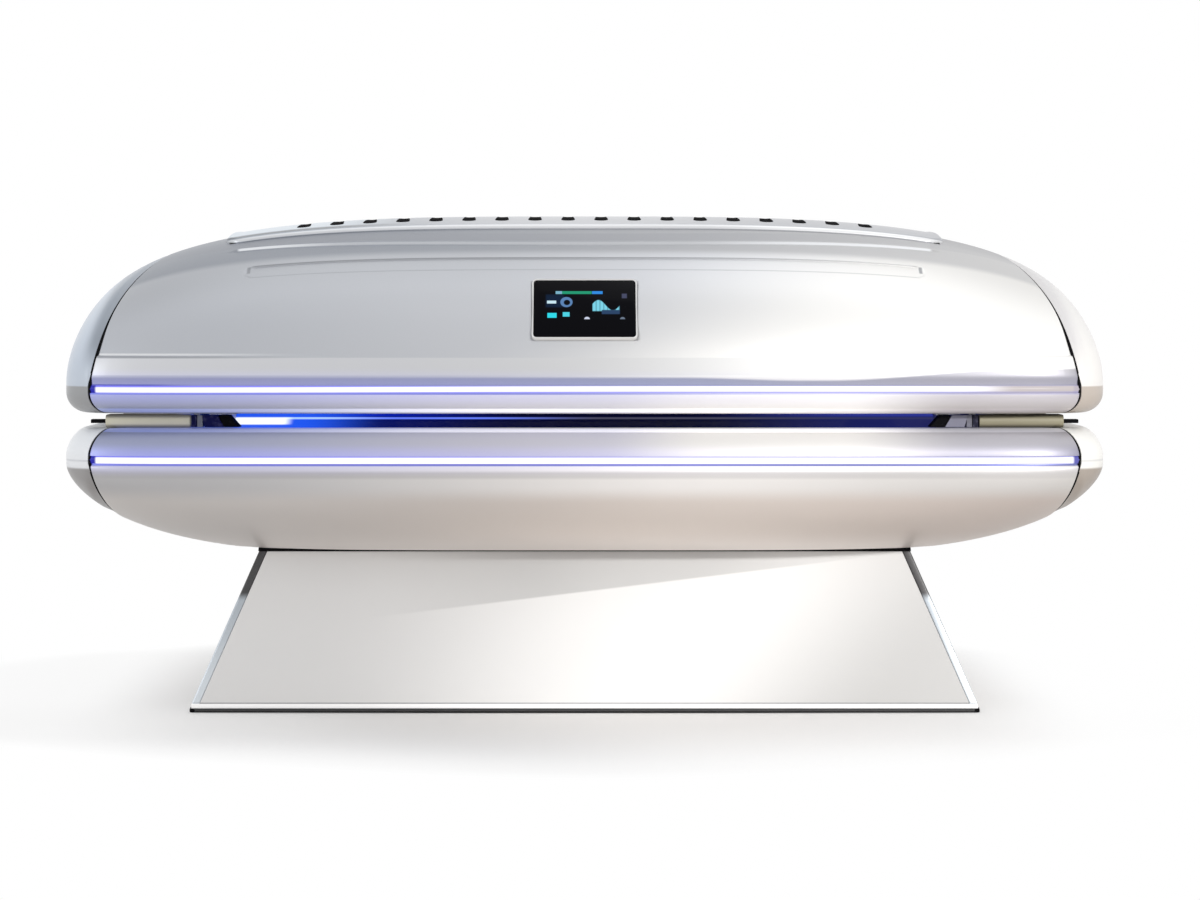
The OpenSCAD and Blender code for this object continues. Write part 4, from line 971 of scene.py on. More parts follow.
def board_finish():
    """White circuit board with rows of lit diodes that follow the tunnel's arch, each with a painted
    blue halo, their light painted out from the left end to the middle.
    """
    finish = Finish("board_white")
    x, y, z = finish.place()
    pitch = 0.022
    low_radius = 1.35
    low_middle = GAP_Z + 1.25
    upper = z.step(GAP_Z - 0.01, GAP_Z + 0.01)
    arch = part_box("canopy_acrylic")[1].z - GAP_Z
    radius = (HALF_DEPTH ** 2 + arch ** 2) / (2 * arch)
    top_angle = finish.maths("ARCTAN2", y, z - (GAP_Z + arch - radius))
    low_angle = finish.maths("ARCTAN2", y, low_middle - z)
    around = top_angle * radius * upper + low_angle * low_radius * (1 - upper)
    cells = [finish.maths("PINGPONG", value, pitch / 2) for value in (x, around)]
    offset = [cell - pitch / 4 for cell in cells]
    ring = finish.maths("SQRT", offset[0] * offset[0] + offset[1] * offset[1])
    diode = ring.fade(0.0018, 0.0026)
    halo = ring.fade(0.0018, 0.007)
    grain = finish.noise(300, 2.0)
    # Painted blue halo of light round each diode.
    lit = finish.mix(diode, finish.mix(halo * 0.6, (0.004, 0.01, 0.10), colours().tunnel),
                     (0.75, 0.85, 1.0))
    # The diodes' light is painted out from the left end to the middle, leaving the middle and right of
    # the tunnel in painted shade.
    return finish.surface(
        Base_Color=finish.mix(diode, (0.72, 0.74, 0.72), (0.9, 0.8, 0.4)),
        Roughness=0.45 + grain * 0.15,
        Emission_Color=finish.mix(x.step(-0.75, -0.05) * 0.93, lit, (0.002, 0.003, 0.02)),
        Emission_Strength=1.0)


def acrylic_painted_glow_finish():
    """Clear acrylic with the tunnel's light painted in as emission: bright blue to the left, dark in
    the middle, deep blue to the right, with a painted light line and a painted white streak near the
    left end.
    """
    finish = Finish("acrylic_clear")
    x, y, z = finish.place()
    streak = finish.noise(3.0, 2.0, (1, 4, 8))
    left = x.fade(-0.62, -0.15)
    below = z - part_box("bench_acrylic")[1].z
    shut = x.step(-0.6, -0.1) * y.step(0.20, 0.32) * below.band(-0.0427, 0.0073, 0.01)
    upper = below.step(-0.0087, -0.0062)
    line = below.band(-0.0130, -0.0097, 0.0012) * x.step(-0.74, -0.72)
    # Painted white streak near the left end, at the back.
    painted_streak = x.band(-0.84, -0.735, 0.03) * below.band(-0.0232, -0.0117, 0.004) * y.step(0.30, 0.40)
    far_left = x.fade(-0.70, -0.48)
    # Painted blue light: brighter at the far left, navy to the right, dark between.
    blue = finish.mix(upper, (0.001, 0.003, 0.04), (0.002, 0.012, 0.34))
    blue = finish.mix(far_left, blue, (0.012, 0.075, 0.62))
    navy = finish.mix(upper, (0.008, 0.010, 0.06), (0.020, 0.028, 0.20))
    tone = finish.mix(x.step(0.25, 0.75), (0.001, 0.001, 0.004), navy)
    tone = finish.mix(left * (0.8 + streak * 0.4), tone, blue)
    # Painted light line at one height, brightest to the left.
    light = finish.mix(x.step(-0.66, -0.45), (0.34, 0.50, 0.98), (0.10, 0.16, 0.74))
    light = finish.mix(x.step(-0.30, 0.05), light, (0.05, 0.05, 0.075))
    tone = finish.mix(line * (1 - x.step(0.3, 0.8) * 0.6), tone, light)
    return finish.surface(
        Base_Color=(0.03, 0.05, 0.20),
        Roughness=0.12 + streak * 0.06,
        Specular_IOR_Level=0.12,
        Alpha=0.82 + streak * 0.1 + shut * 0.1,
        Emission_Color=finish.mix(painted_streak, tone, (0.9, 0.96, 1)),
        Emission_Strength=1.25)


def display_axes():
    """Middle, upward direction and normal of the display's face."""
    mesh = NODES["display_glass"].data
    front = max((p for p in mesh.polygons if p.normal.y < -0.2), key=lambda p: p.area)
    low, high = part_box("display_glass")
    middle = (low + high) / 2
    normal = front.normal.copy()
    up = normal.cross(Vector((1, 0, 0)))
    depth = (mesh.vertices[front.vertices[0]].co - middle).dot(normal)
    return middle + normal * depth, up, normal


def screen_finish():
    """Black glass over a lit screen with plain bars, tiles, a ring and a curve."""
    finish = Finish("display_black")
    middle, up, _ = display_axes()
    x, _, _ = finish.place()
    lifted = finish.node("ShaderNodeVectorMath", {"operation": "SUBTRACT"},
                         {0: finish.point, 1: middle})
    y = finish.node("ShaderNodeVectorMath", {"operation": "DOT_PRODUCT"},
                    {0: lifted, 1: up}, output="Value")
    u = x * 1000
    v = y * 1000

    def box(left, right, low, high, soft=1.2):
        """A bar or tile, in millimetres from the middle of the screen."""
        return u.band(left, right, soft) * v.band(low, high, soft)

    def disc(cx, cy, radius, soft=1.5):
        """A round spot, in millimetres from the middle of the screen."""
        away = finish.maths("SQRT", (u - cx) * (u - cx) + (v - cy) * (v - cy))
        return away.fade(radius, radius + soft)

    lit = (0, 0, 0)
    wave = finish.maths("SINE", (u - 14) * 0.105) * 13 + 8
    under = v.step(-8, -5) * (v - wave).fade(-1.5, 1.5) * u.band(17, 72, 1.5)
    columns = finish.maths("PINGPONG", u, 4.0).step(0.6, 1.6)
    layers = [
        (box(-60, 14, 37, 43), rgb("1f9c74")),
        (box(-60, -48, 37, 43), rgb("7fb6cf")),
        (box(16, 37, 37, 43), rgb("2f8fe8")),
        (box(-78, -46, 6, 32, 6) * 0.55, rgb("0e2a4a")),
        (box(-78, -60, 13, 19), rgb("cfeefa")),
        (disc(-38, 16, 12) * (1 - disc(-37, 15, 6)), rgb("5d86b8")),
        (box(-77, -59, -23, -12), rgb("2fe0f0")),
        (box(-45, -32, -20, -10), rgb("4fd8ea")),
        (under * (0.55 + columns * 0.45), rgb("7fd9ee")),
        (box(37, 72, -13, -5, 2.5), rgb("2b4568")),
        (disc(5, -27, 5) * v.step(-28, -26), rgb("d6dcf2")),
        (disc(79, -27, 4.5) * v.step(-28, -26), rgb("6e7c90")),
        (box(79, 87, 27, 36, 2.5) * 0.6, rgb("5a5f80")),
    ]
    for mask, colour in layers:
        lit = finish.mix(mask, lit, colour)
    smear = finish.noise(30, 3.0)
    return finish.surface(
        Base_Color=(0.004, 0.004, 0.006),
        Specular_IOR_Level=0.03,
        Roughness=0.10 + smear.step(0.5, 0.8) * 0.06,
        Emission_Color=lit,
        Emission_Strength=0.95)


def beige_painted_light_finish():
    """Cast acrylic end decks in a warm grey with a satin face, darker towards the bed's right end in
    painted shade, with a faint painted glow on their front.
    """
    finish = Finish("deck_beige")
    x, y, _ = finish.place()
    grain = finish.noise(500, 2.0)
    cloud = finish.noise(8, 3.0)
    tone = finish.mix(cloud, rgb("b5b2ab"), rgb("c1bfb8"))
    # Painted shade towards the bed's right end.
    near = finish.mix(x.step(0.2, 0.8), tone, rgb("958c78"))
    # A faint painted glow on the front, given as emission.
    return finish.surface(
        Base_Color=near,
        Roughness=0.4 + cloud * 0.1,
        Coat_Weight=0.2,
        Coat_Roughness=0.1,
        Normal=finish.bump(grain, 0.00008, 0.3),
        Emission_Color=finish.mix(y.step(0.1, -0.35), (0, 0, 0), (0.06, 0.056, 0.05)),
        Emission_Strength=1.0)


# Canopy


def dome_relief(x, angle):
    """How far the canopy's surface lies below its plain dome."""
    size = sizes()
    front = min(angle, 180 - angle)
    height = RISE * share(x / HALF_LENGTH, ARCH) * round_sin(front, DOME_SECTION)
    inset = size.strip_recess * (1 - smooth(height, 0.0, LOWER_CREASE))
    fade = smooth(abs(x), 0.40, 0.86)
    rise = smooth(height, UPPER_CREASE, UPPER_CREASE + 0.004)
    back = 1 - smooth(height, UPPER_CREASE + 0.004, UPPER_CREASE + 0.10)
    inset += size.crease_step * fade * rise * back
    middle = sum(CHANNEL) / 2
    half_width = (CHANNEL[1] - CHANNEL[0]) / 2 * ARC_PER_DEGREE
    away = stadium(x, (front - middle) * ARC_PER_DEGREE, size.channel_half, half_width)
    inset += size.channel_depth * (1 - smooth(away, -0.0035, 0.0))
    ridge = RIDGE + RIDGE_BEND / RISE_PER_DEGREE * (x / RIDGE_BEND_AT) ** 2
    away = stadium(x, (front - ridge) * ARC_PER_DEGREE, size.ridge_half, RIDGE_HALF_WIDTH)
    inset -= size.ridge_height * (1 - smooth(away, -0.009, 0.0))
    return inset


def dome_angles():
    """Angles round half the dome, closer together at its creases and channels."""
    front = spaced(0, 3.5, 7) + spaced(3.8, 6.9, 5) + spaced(7.1, 8.4, 9) + spaced(9.2, 38.6, 24)
    front += spaced(39.4, 40.7, 11) + spaced(41.4, 45.3, 5) + spaced(45.9, 47.1, 11)
    front += spaced(48.2, 52.8, 4) + spaced(53.3, 60.3, 30) + spaced(61.5, 66, 4) + spaced(67.5, 90, 11)
    front = sorted({round(a, 4) for a in front})
    return front + [180 - a for a in reversed(front[:-1])]


def shares_along(wide, near):
    """Shares of a shell's length for the places wide and for distances near its seams."""
    reach = SEAM_RIM * HALF_LENGTH
    return [x / reach for x in mirrored(wide + [reach - d for d in SEAM_STEPS + near])]


def length_shares():
    """Places along the canopy, closer together at its seams and at the channel's ends."""
    wide = spaced(0, 0.69, 23) + spaced(0.694, 0.77, 30) + spaced(0.782, 1.0, 14)
    return shares_along(wide, [0.006, 0.012, 0.02, 0.03])


def end_shares():
    """Places along the lips, strips and hull, closer together near the seams."""
    return shares_along(spaced(0, 0.98, 56), [0.006, 0.012, 0.024])


def canopy_row(s):
    """Points over the canopy at the share s of the way to its seams."""
    size = sizes()
    row = []
    for place in dome_angles():
        angle = level_angle(s * dome_seam(place), place)
        u = s * dome_seam(angle)
        x = u * HALF_LENGTH
        edge = (1 - abs(s)) * dome_seam(angle) * HALF_LENGTH
        lowered = dome_relief(x, angle) + quarter(edge, size.seam_round)
        row.append(dome_point(u, angle, lowered))
    return row


def cut_out(piece, cutter):
    """Cuts a solid out of a piece and removes the cutter."""
    tool = piece.modifiers.new("cut", "BOOLEAN")
    tool.operation = "DIFFERENCE"
    tool.solver = "EXACT"
    tool.object = cutter
    apply_modifiers(piece)
    bpy.data.objects.remove(cutter)


def display_place():
    """A function that places a point of the display's own plane on the bed."""
    middle, up, normal = display_axes()

    def place(x, y, height):
        return middle + Vector((x, 0, 0)) + up * y + normal * height
    return place


def glass_half():
    """Half width and half height of the display glass along its own plane."""
    low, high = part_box("display_glass")
    _, up, _ = display_axes()
    half_height = max(
        abs((v.co - (low + high) / 2).dot(up)) for v in NODES["display_glass"].data.vertices)
    return (high.x - low.x) / 2, half_height


def bezel_outline(grow):
    """Outline of the display's edge, grown outwards, with round corners."""
    half_x, half_y = glass_half()
    return rounded_outline(half_x + grow, half_y + grow, 0.007 + grow)


def cap_shares(seam):
    """Places along an end cap from its seam to its end."""
    start = seam + SEAM_GAP / HALF_LENGTH
    near = [d / HALF_LENGTH for d in SEAM_STEPS]
    steps = 34
    length = END_SHARE - start - near[-1]
    return [start + n for n in near] + [
        start + near[-1] + length * (1 - (1 - i / steps) ** 2.2) for i in range(1, steps + 1)]


def cap_relief(u, seam, angle, band_power=1.0):
    """Inset of an end cap: a rounded edge at the seam and the band beside it."""
    size = sizes()
    away = (u - seam) * HALF_LENGTH
    lean = abs(math.sin(math.radians(2 * min(max(angle, 0), 180)))) ** band_power
    width = 0.004 + 0.030 * lean
    band = size.band_depth * lean * (1 - smooth(away, width * 0.55, width))
    return quarter(away, size.seam_round) + band


def lip_profile(height, steps, power=2.0):
    """Points (inset, height) of a lip from its flange round to the light strip."""
    points = [(FLANGE_INSET, 0.0), ((FLANGE_INSET + LIP_INSET) / 2, 0.0)]
    for k in range(steps + 1):
        angle = 90 * (1 - k / steps)
        inset = LIP_INSET - LIP_INSET * round_cos(angle, power)
        points.append((inset, height - height * round_sin(angle, power)))
    return points


def canopy_section(u, inset, over):
    """A row of the canopy's end: its front lip, the points over the dome, its rear lip."""
    lip = lip_profile(CANOPY_LIP, CAP_LIP_STEPS)
    front = [rim_point(u, e + inset, CANOPY_LOW_Z + h, -1) for e, h in lip]
    back = [rim_point(u, e + inset, CANOPY_LOW_Z + h, 1) for e, h in reversed(lip)]
    return front + over + back


def bench_section(u, inset, under):
    """A row of the bench's end: both lips, with under(side) for the points below a lip."""
    lip = lip_profile(BENCH_LIP, CAP_LIP_STEPS, BENCH_LIP_POWER)
    back, front = [
        [rim_point(u, e + inset, BENCH_TOP_Z - h, side) for e, h in lip] + under(side)
        for side in (1, -1)]
    return back + front[::-1]


def canopy_cap_rows():
    """Rows of the right end cap of the canopy."""
    rows = []
    for i, u in enumerate(cap_shares(SEAM_RIM)):
        over = []
        for angle in dome_angles():
            seam = dome_seam(angle)
            v = cap_shares(seam)[i]
            over.append(dome_point(v, angle, cap_relief(v, seam, angle)))
        rows.append(canopy_section(u, cap_relief(u, SEAM_RIM, 0), over))
    return rows


def keel_angles(limit, steps=26):
    """Even steps round one side of the hull, from its rim to the angle limit."""
    return [limit * k / steps for k in range(steps + 1)]


def bench_cap_rows():
    """Rows of the right end cap of the bench."""
    rows = []
    for i, u in enumerate(cap_shares(SEAM_RIM)):
        def under(side, i=i):
            points = []
            for angle in keel_angles(KEEL_LIMIT):
                seam = hull_seam(angle)
                v = cap_shares(seam)[i]
                points.append(hull_point(v, angle, cap_relief(v, seam, angle * 0.9), side))
            return points
        rows.append(bench_section(u, cap_relief(u, SEAM_RIM, 0), under))
    return rows


def seam_rows(part):
    """Rows of the seal that fills the seam of a right end cap."""
    rows = []
    for step in (-0.0012, 0.0010, 0.0030, SEAM_GAP + 0.0012):
        move = step / HALF_LENGTH
        if part == "canopy":
            over = [dome_point(dome_seam(a) + move, a, SEAL_INSET) for a in dome_angles()]
            rows.append(canopy_section(SEAM_RIM + move, SEAL_INSET, over))
            continue

        def under(side, move=move):
            return [hull_point(hull_seam(a) + move, a, SEAL_INSET, side)
                    for a in keel_angles(KEEL_LIMIT)]
        rows.append(bench_section(SEAM_RIM + move, SEAL_INSET, under))
    return rows


def lip_rows(height, base, direction, extra=0.0):
    """Rows of a front lip that goes up (direction 1) or down (-1) from base.

    extra carries it on over the height of a missing strip.
    """
    size = sizes()
    profile = lip_profile(height, 16, 2.0 if direction > 0 else BENCH_LIP_POWER)
    profile[-1:] = [(profile[-1][0], height - 0.001), (0.0025, height)]
    if extra:
        profile[-2:] = [(0.0, height), (0.0, height + extra)]
    rows = []
    for s in end_shares():
        u = s * SEAM_RIM
        edge = quarter((1 - abs(s)) * SEAM_RIM * HALF_LENGTH, size.seam_round)
        row = [rim_point(u, e + edge, base + direction * h, -1) for e, h in profile]
        rows.append(row if direction > 0 else list(reversed(row)))
    return rows


class BED_OT_canopy_shell(bpy.types.Operator):
    """Build the domed canopy shell with its creases, channels and ridges"""

    bl_idname = "bed.canopy_shell"
    bl_label = "Canopy Shell"

    def execute(self, context):
        shell = sheet("canopy_dome", [canopy_row(s) for s in length_shares()], sizes().wall)
        place = display_place()
        cutter = ring_solid("display_cutter", bezel_outline,
                            [(0.0045, -0.06), (0.0045, 0.04)], place, closed_profile=False)
        cut_out(shell, cutter)
        low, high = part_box("fan_tray")
        opening = rounded_outline(high.x + 0.004, high.y + 0.004, 0.03)
        cut_out(shell, prisms("opening_cutter", [opening], low.z, CUT_TOP_Z))
        finish = silver_finish("shell_silver", dome_tone_and_painted_light, 0.4)
        fit(shell, "canopy", finish, "shell_silver", "canopy_shell")
        return {"FINISHED"}


class BED_OT_end_caps(bpy.types.Operator):
    """Build the four white end caps with their seam bands"""

    bl_idname = "bed.end_caps"
    bl_label = "End Caps"

    def execute(self, context):
        # Colours of each cap's crown, of the band along its seam and of its underside, with painted
        # light: the two ends differ for how light falls on each, the canopy caps' bands are painted
        # shade, and the undersides are painted shade.
        finishes = {
            "canopy_cap_left": ((0.62, 0.69, 0.79), (0.33, 0.37, 0.43), (0.36, 0.365, 0.37)),
            "canopy_cap_right": ((0.84, 0.83, 0.82), (0.72, 0.71, 0.72), (0.48, 0.42, 0.37)),
            "bench_cap_left": ((0.93, 0.96, 1.0), (0.93, 0.96, 1.0), (0.31, 0.30, 0.30)),
            "bench_cap_right": ((0.88, 0.88, 0.86), (0.88, 0.88, 0.86), (0.34, 0.29, 0.25))}
        for body, part, rows in (
                ("canopy", "canopy_cap", canopy_cap_rows()), ("base", "bench_cap", bench_cap_rows())):
            piece = sheet(f"{part}_moulding_right", rows, sizes().wall, bridged=True)
            twin = other_end(piece, f"{part}_moulding_left")
            for made, side in ((piece, "right"), (twin, "left")):
                node = f"{part}_{side}"
                fit(made, body, cap_finish(f"{node}_white", *finishes[node]), "cap_white", node)
            seal = sheet(f"{body}_seam_seal_right", seam_rows(body), 0.002)
            twin = other_end(seal, f"{body}_seam_seal_left")
            for made in (seal, twin):
                fit(made, body, matt_black("seam_black"), "rubber_black")
        return {"FINISHED"}


def bar(name, profile, starts, ends):
    """A bar along the bed: a closed (y, z) profile between two lists of x places."""
    points = [(x, y, z) for places in (starts, ends) for x, (y, z) in zip(places, profile)]
    made = mesh_object(name, points, prism_faces(len(profile)), 25)
    rework(made.data, face_outwards)
    return made


class BED_OT_rest_blocks(bpy.types.Operator):
    """Build the blocks at the two ends of the gap on which the canopy rests"""

    bl_idname = "bed.rest_blocks"
    bl_label = "Rest Blocks"

    def execute(self, context):
        low, high = BENCH_TOP_Z + 0.0006, CANOPY_LOW_Z - 0.0035
        middle, half = (low + high) / 2, (high - low) / 2
        round_front = [(-0.497 - 0.010 * math.cos(math.radians(a)),
                        middle + half * math.sin(math.radians(a))) for a in range(-90, 91, 15)]
        block = round_front + [(-0.442, high), (-0.442, low)]
        square = [(-0.504, low + 0.001), (-0.505, middle), (-0.504, high - 0.001),
                  (-0.460, high - 0.001), (-0.460, low + 0.001)]
        tab = [(-0.503, middle - 0.004), (-0.506, middle), (-0.503, middle + 0.004),
               (-0.480, middle + 0.004), (-0.480, middle - 0.004)]
        beige = block_painted_light_finish()
        # Painted light: these tones differ between the bed's two ends.
        navy = two_ended_painted_light_finish("stripe_navy", (0.004, 0.005, 0.06), (0.02, 0.02, 0.04))
        guard = two_ended_painted_light_finish("guard_navy", (0.006, 0.007, 0.08), (0.26, 0.26, 0.33))
        grey = two_ended_painted_light_finish("clip_grey", (0.26, 0.27, 0.30), (0.20, 0.20, 0.24))
        black = matt_black("stop_black")
        # Name, profile, where it starts and ends, slant of its ends, finish and slot
        parts = (("rest_block", block, 0.827, 1.003, 0.0, beige, "deck_beige"),
                 ("rest_stripe", square, 0.8125, 0.824, 0.0, navy, "acrylic_clear"),
                 ("rest_clip", square, 0.800, 0.811, 0.0, grey, "lip_silver"),
                 ("rest_guard", square, 0.762, 0.799, 0.008, guard, "acrylic_clear"),
                 ("rest_wedge", square, 0.734, 0.761, 0.012, black, "rubber_black"),
                 ("rest_tab", tab, 1.0035, 1.034, 0.0, black, "rubber_black"))
        for name, profile, near, far, slant, finish, slot in parts:
            starts = [near + slant * (z - middle) / half for _, z in profile]
            ends = [far + slant * 0.5 * (z - middle) / half for _, z in profile]
            made = bevel(bar(f"{name}_right", profile, starts, ends), 0.0006, 2)
            apply_modifiers(made)
            twin = other_end(made, f"{name}_left")
            for piece in (made, twin):
                fit(piece, "base", finish, slot)
        return {"FINISHED"}


def two_ended_painted_light_finish(name, left, right):
    """Dull plastic with one tone on the bed's left and another on its right, painted for how light
    falls on each end.
    """
    finish = Finish(name)
    x, _, _ = finish.place()
    grain = finish.noise(90, 3.0)
    tone = finish.mix(x.step(-0.1, 0.1), left, right)
    return finish.surface(
        Base_Color=finish.mix(grain.step(0.5, 0.8) * 0.15, tone, (0.45, 0.45, 0.62)),
        Roughness=0.5 + grain * 0.1,
        Specular_IOR_Level=0.1)


def block_painted_light_finish():
    """Satin beige block with painted light: a painted highlight along its middle, darker in painted
    shade at the bed's right end, and a faint painted glow on the left block, strongest along its
    middle.
    """
    finish = Finish("block_beige")
    x, _, z = finish.place()
    grain = finish.noise(500, 2.0)
    middle = z.band(GAP_Z - 0.006, GAP_Z + 0.003, 0.007)
    right = x.step(-0.5, 0.5)
    # Painted shade: both tones darker at the bed's right end.
    side = finish.mix(right, rgb("8f8b82"), rgb("605c4c"))
    core = finish.mix(right, rgb("cfcab4"), rgb("99937a"))
    # Faint painted glow, strongest along the middle, on the left block only.
    glow = finish.mix(middle, (0.05, 0.048, 0.042), (0.16, 0.155, 0.12))
    return finish.surface(
        Base_Color=finish.mix(middle, side, core),
        Roughness=0.4 + grain * 0.1,
        Coat_Weight=0.1,
        Coat_Roughness=0.1,
        Normal=finish.bump(grain, 0.00008, 0.3),
        Emission_Color=finish.mix(right, glow, (0, 0, 0)),
        Emission_Strength=0.8)


class BED_OT_lips(bpy.types.Operator):
    """Build the rounded lips above and below the gap, front and back"""

    bl_idname = "bed.lips"
    bl_label = "Lips"

    def execute(self, context):
        wall = sizes().wall
        # Tones of the upper and lower lips, with painted light: left, middle, brightest just right of
        # the middle, right.
        upper = lip_tone_and_painted_light((0.42, 0.45, 0.54), (0.88, 0.87, 0.90), (1.0, 0.98, 0.96),
                         (0.58, 0.55, 0.54), 0.8)
        lower = lip_tone_and_painted_light((0.33, 0.36, 0.52), (0.59, 0.58, 0.66), (0.78, 0.76, 0.74),
                         (0.43, 0.42, 0.46))
        upper_shine = lip_painted_highlight(CANOPY_LOW_Z + 0.0045, CANOPY_LOW_Z + 0.0100,
                                (0.30, 0.52), (0.08, 0.07, 0.08))
        lower_shine = lip_painted_highlight(BENCH_TOP_Z - 0.0060, BENCH_TOP_Z - 0.0010,
                                (0.55, 0.78), (0.24, 0.24, 0.26))
        for body, part, height, base, direction, tone, shine in (
                ("canopy", "canopy_lip", CANOPY_LIP, CANOPY_LOW_Z, 1, upper, upper_shine),
                ("base", "bench_lip", BENCH_LIP, BENCH_TOP_Z, -1, lower, lower_shine)):
            finish = silver_finish(f"{part}_silver", tone, 0.5, shine_of=shine)
            front = sheet(f"{part}_front_roll", lip_rows(height, base, direction), wall)
            fit(front, body, finish, "lip_silver", f"{part}_front")
            whole = sheet(f"{part}_rear_source",
                          lip_rows(height, base, direction, STRIP_HEIGHT), wall)
            rear = other_end(whole, f"{part}_rear_roll", axis=1)
            bpy.data.objects.remove(whole)
            fit(rear, body, finish, "lip_silver", f"{part}_rear")
        return {"FINISHED"}


class BED_OT_light_strips(bpy.types.Operator):
    """Build the two opal light strips along the front"""

    bl_idname = "bed.light_strips"
    bl_label = "Light Strips"

    def execute(self, context):
        recess = sizes().strip_recess
        for body, part, base, low, fade in (
                ("canopy", "canopy_light_strip", STRIP_Z, 0.0020, 0.85),
                ("base", "bench_light_strip", RIM_Z, 0.0015, 0.1)):
            finish = strip_finish(part, base, low, fade)
            rows = []
            for s in end_shares():
                row = []
                for k in range(9):
                    t = k / 8
                    bulge = recess - 0.002 * math.sin(math.pi * t)
                    row.append(rim_point(s * SEAM_RIM, bulge, base + STRIP_HEIGHT * t, -1))
                rows.append(row)
            fit(sheet(f"{part}_lens", rows, 0.0025), body, finish, "strip_light", part)
        return {"FINISHED"}


class BED_OT_bench_hull(bpy.types.Operator):
    """Build the boat-shaped hull of the bench"""

    bl_idname = "bed.bench_hull"
    bl_label = "Bench Hull"

    def execute(self, context):
        size = sizes()
        near_rim = [0, 0.4, 0.9, 1.5, 2.2]
        rows = []
        for s in end_shares():
            half = []
            angles = near_rim + keel_angles(keel_angle(s * SEAM_RIM), 40)[2:]
            for side in (1, -1):
                row = []
                for angle in angles:
                    edge = (1 - abs(s)) * hull_seam(angle) * HALF_LENGTH
                    inset = quarter(edge, size.seam_round)
                    inset += size.strip_recess * (1 - smooth(angle, 0, near_rim[-1]))
                    row.append(hull_point(s * hull_seam(angle), angle, inset, side))
                half.append(row)
            rows.append(half[0] + list(reversed(half[1])))
        hull = sheet("bench_hull_shell", rows, size.wall)
        fit(hull, "base", silver_finish("hull_silver", hull_tone_and_painted_light, 0.35), "shell_silver", "bench_hull")
        return {"FINISHED"}


# Top deck


def deck_distance(x, across):
    """Distance inside the deck's rounded outline."""
    dx = abs(x) - (DECK_HALF - DECK_ROUND)
    dy = abs(across) - (DECK_HALF_ACROSS - DECK_ROUND)
    outside = math.hypot(max(dx, 0), max(dy, 0)) + min(max(dx, dy), 0.0)
    return DECK_ROUND - outside


def deck_rows():
    """Rows of the raised deck, whose border rolls over down to the dome."""
    near = [0, 0.0005, 0.0015, 0.003, 0.005, 0.0075, 0.011, 0.016, 0.023, 0.032, DECK_ROUND]
    acrosses = mirrored([DECK_HALF_ACROSS - n for n in near] + spaced(0, DECK_HALF_ACROSS - 0.06, 9))
    alongs = [1 - n / DECK_HALF for n in near] + [v / DECK_HALF for v in spaced(0, 0.72, 90)]
    rows = []
    for s in mirrored(alongs):
        row = []
        for across in acrosses:
            x = s * (DECK_HALF - quarter(DECK_HALF_ACROSS - abs(across), DECK_ROUND))
            away = max(0.0, deck_distance(x, across))
            lift = DECK_RAISE - quarter(away, DECK_ROLL) * DECK_RAISE / DECK_ROLL
            bead = DECK_BEAD * smooth(away, 0.006, 0.011) * (1 - smooth(away, 0.016, 0.024))
            lift = max(DECK_SEAT, lift - DECK_BEAD + bead)
            row.append(dome_point(x / HALF_LENGTH, 90 + across / DECK_PER_DEGREE, -lift))
        rows.append(row)
    return rows


def slot_places():
    """Middle of each vent slot along the deck."""
    return [(k - (SLOT_COUNT - 1) / 2) * SLOT_PITCH for k in range(SLOT_COUNT)]


def slot_ring(name, x, grow_out, grow_in, low, high):
    """A dark insert round one vent slot, drawn out beyond the slot's ends."""
    def outline(grow):
        reach = SLOT_HALF_LENGTH + max(0.0, grow) * SLOT_REACH
        return rounded_outline(SLOT_HALF_WIDTH + grow, reach, SLOT_ROUND + grow)

    def place(px, py, height):
        share_y = min(1.0, abs(py) / HALF_DEPTH)
        angle = math.degrees(math.acos(share_y ** (DOME_SECTION / 2)))
        return Vector((x + px, py, dome_point((x + px) / HALF_LENGTH, angle, -height).z))
    middle = (grow_in + grow_out) / 2
    profile = [(grow_in, low), (grow_in, high - 0.001), (grow_in + 0.0008, high), (middle, high),
               (grow_out - 0.0008, high), (grow_out, high - 0.0010), (grow_out, low),
               (middle, low)]
    return ring_solid(name, outline, profile, place)


class BED_OT_top_deck(bpy.types.Operator):
    """Build the raised deck with its vent slots, slot rims and seal"""

    bl_idname = "bed.top_deck"
    bl_label = "Top Deck"

    def execute(self, context):
        deck = sheet("deck_cover", deck_rows(), 0.0035)
        ring = rounded_outline(SLOT_HALF_WIDTH, SLOT_HALF_LENGTH, SLOT_ROUND)
        slots = [[(x + px, py) for px, py in ring] for x in slot_places()]
        cut_out(deck, prisms("slot_cutter", slots, CROWN_Z - 0.06, CUT_TOP_Z))
        finish = silver_finish("deck_silver", deck_tone_and_painted_light, 0.0, 0.35)
        fit(deck, "canopy", finish, "deck_silver", "top_deck")
        insert = matt_black("vent_black")
        for k, x in enumerate(slot_places()):
            rim = slot_ring(f"deck_slot_rim_{k + 1}", x, 0.004, -0.0012,
                            DECK_RAISE - 0.005, DECK_RAISE - 0.0004)
            fit(rim, "canopy", insert, "rubber_black")
        seal_rows = [
            [dome_point(u / HALF_LENGTH, angle, -DECK_SEAT)
             for angle in spaced(DECK_ANGLE + 0.5, 113, 24)]
            for u in spaced(-DECK_HALF + 0.010, DECK_HALF - 0.010, 60)]
        low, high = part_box("fan_tray")

        def inside(i, j):
            point = seal_rows[i][j]
            return abs(point.x) < high.x and abs(point.y) < high.y
        seal = sheet("deck_seal", seal_rows, 0.0008, dropped=inside)
        fit(seal, "canopy", plastic_finish("deck_seal_black", (0.012, 0.012, 0.013), 0.7),
            "rubber_black")
        return {"FINISHED"}


# Display


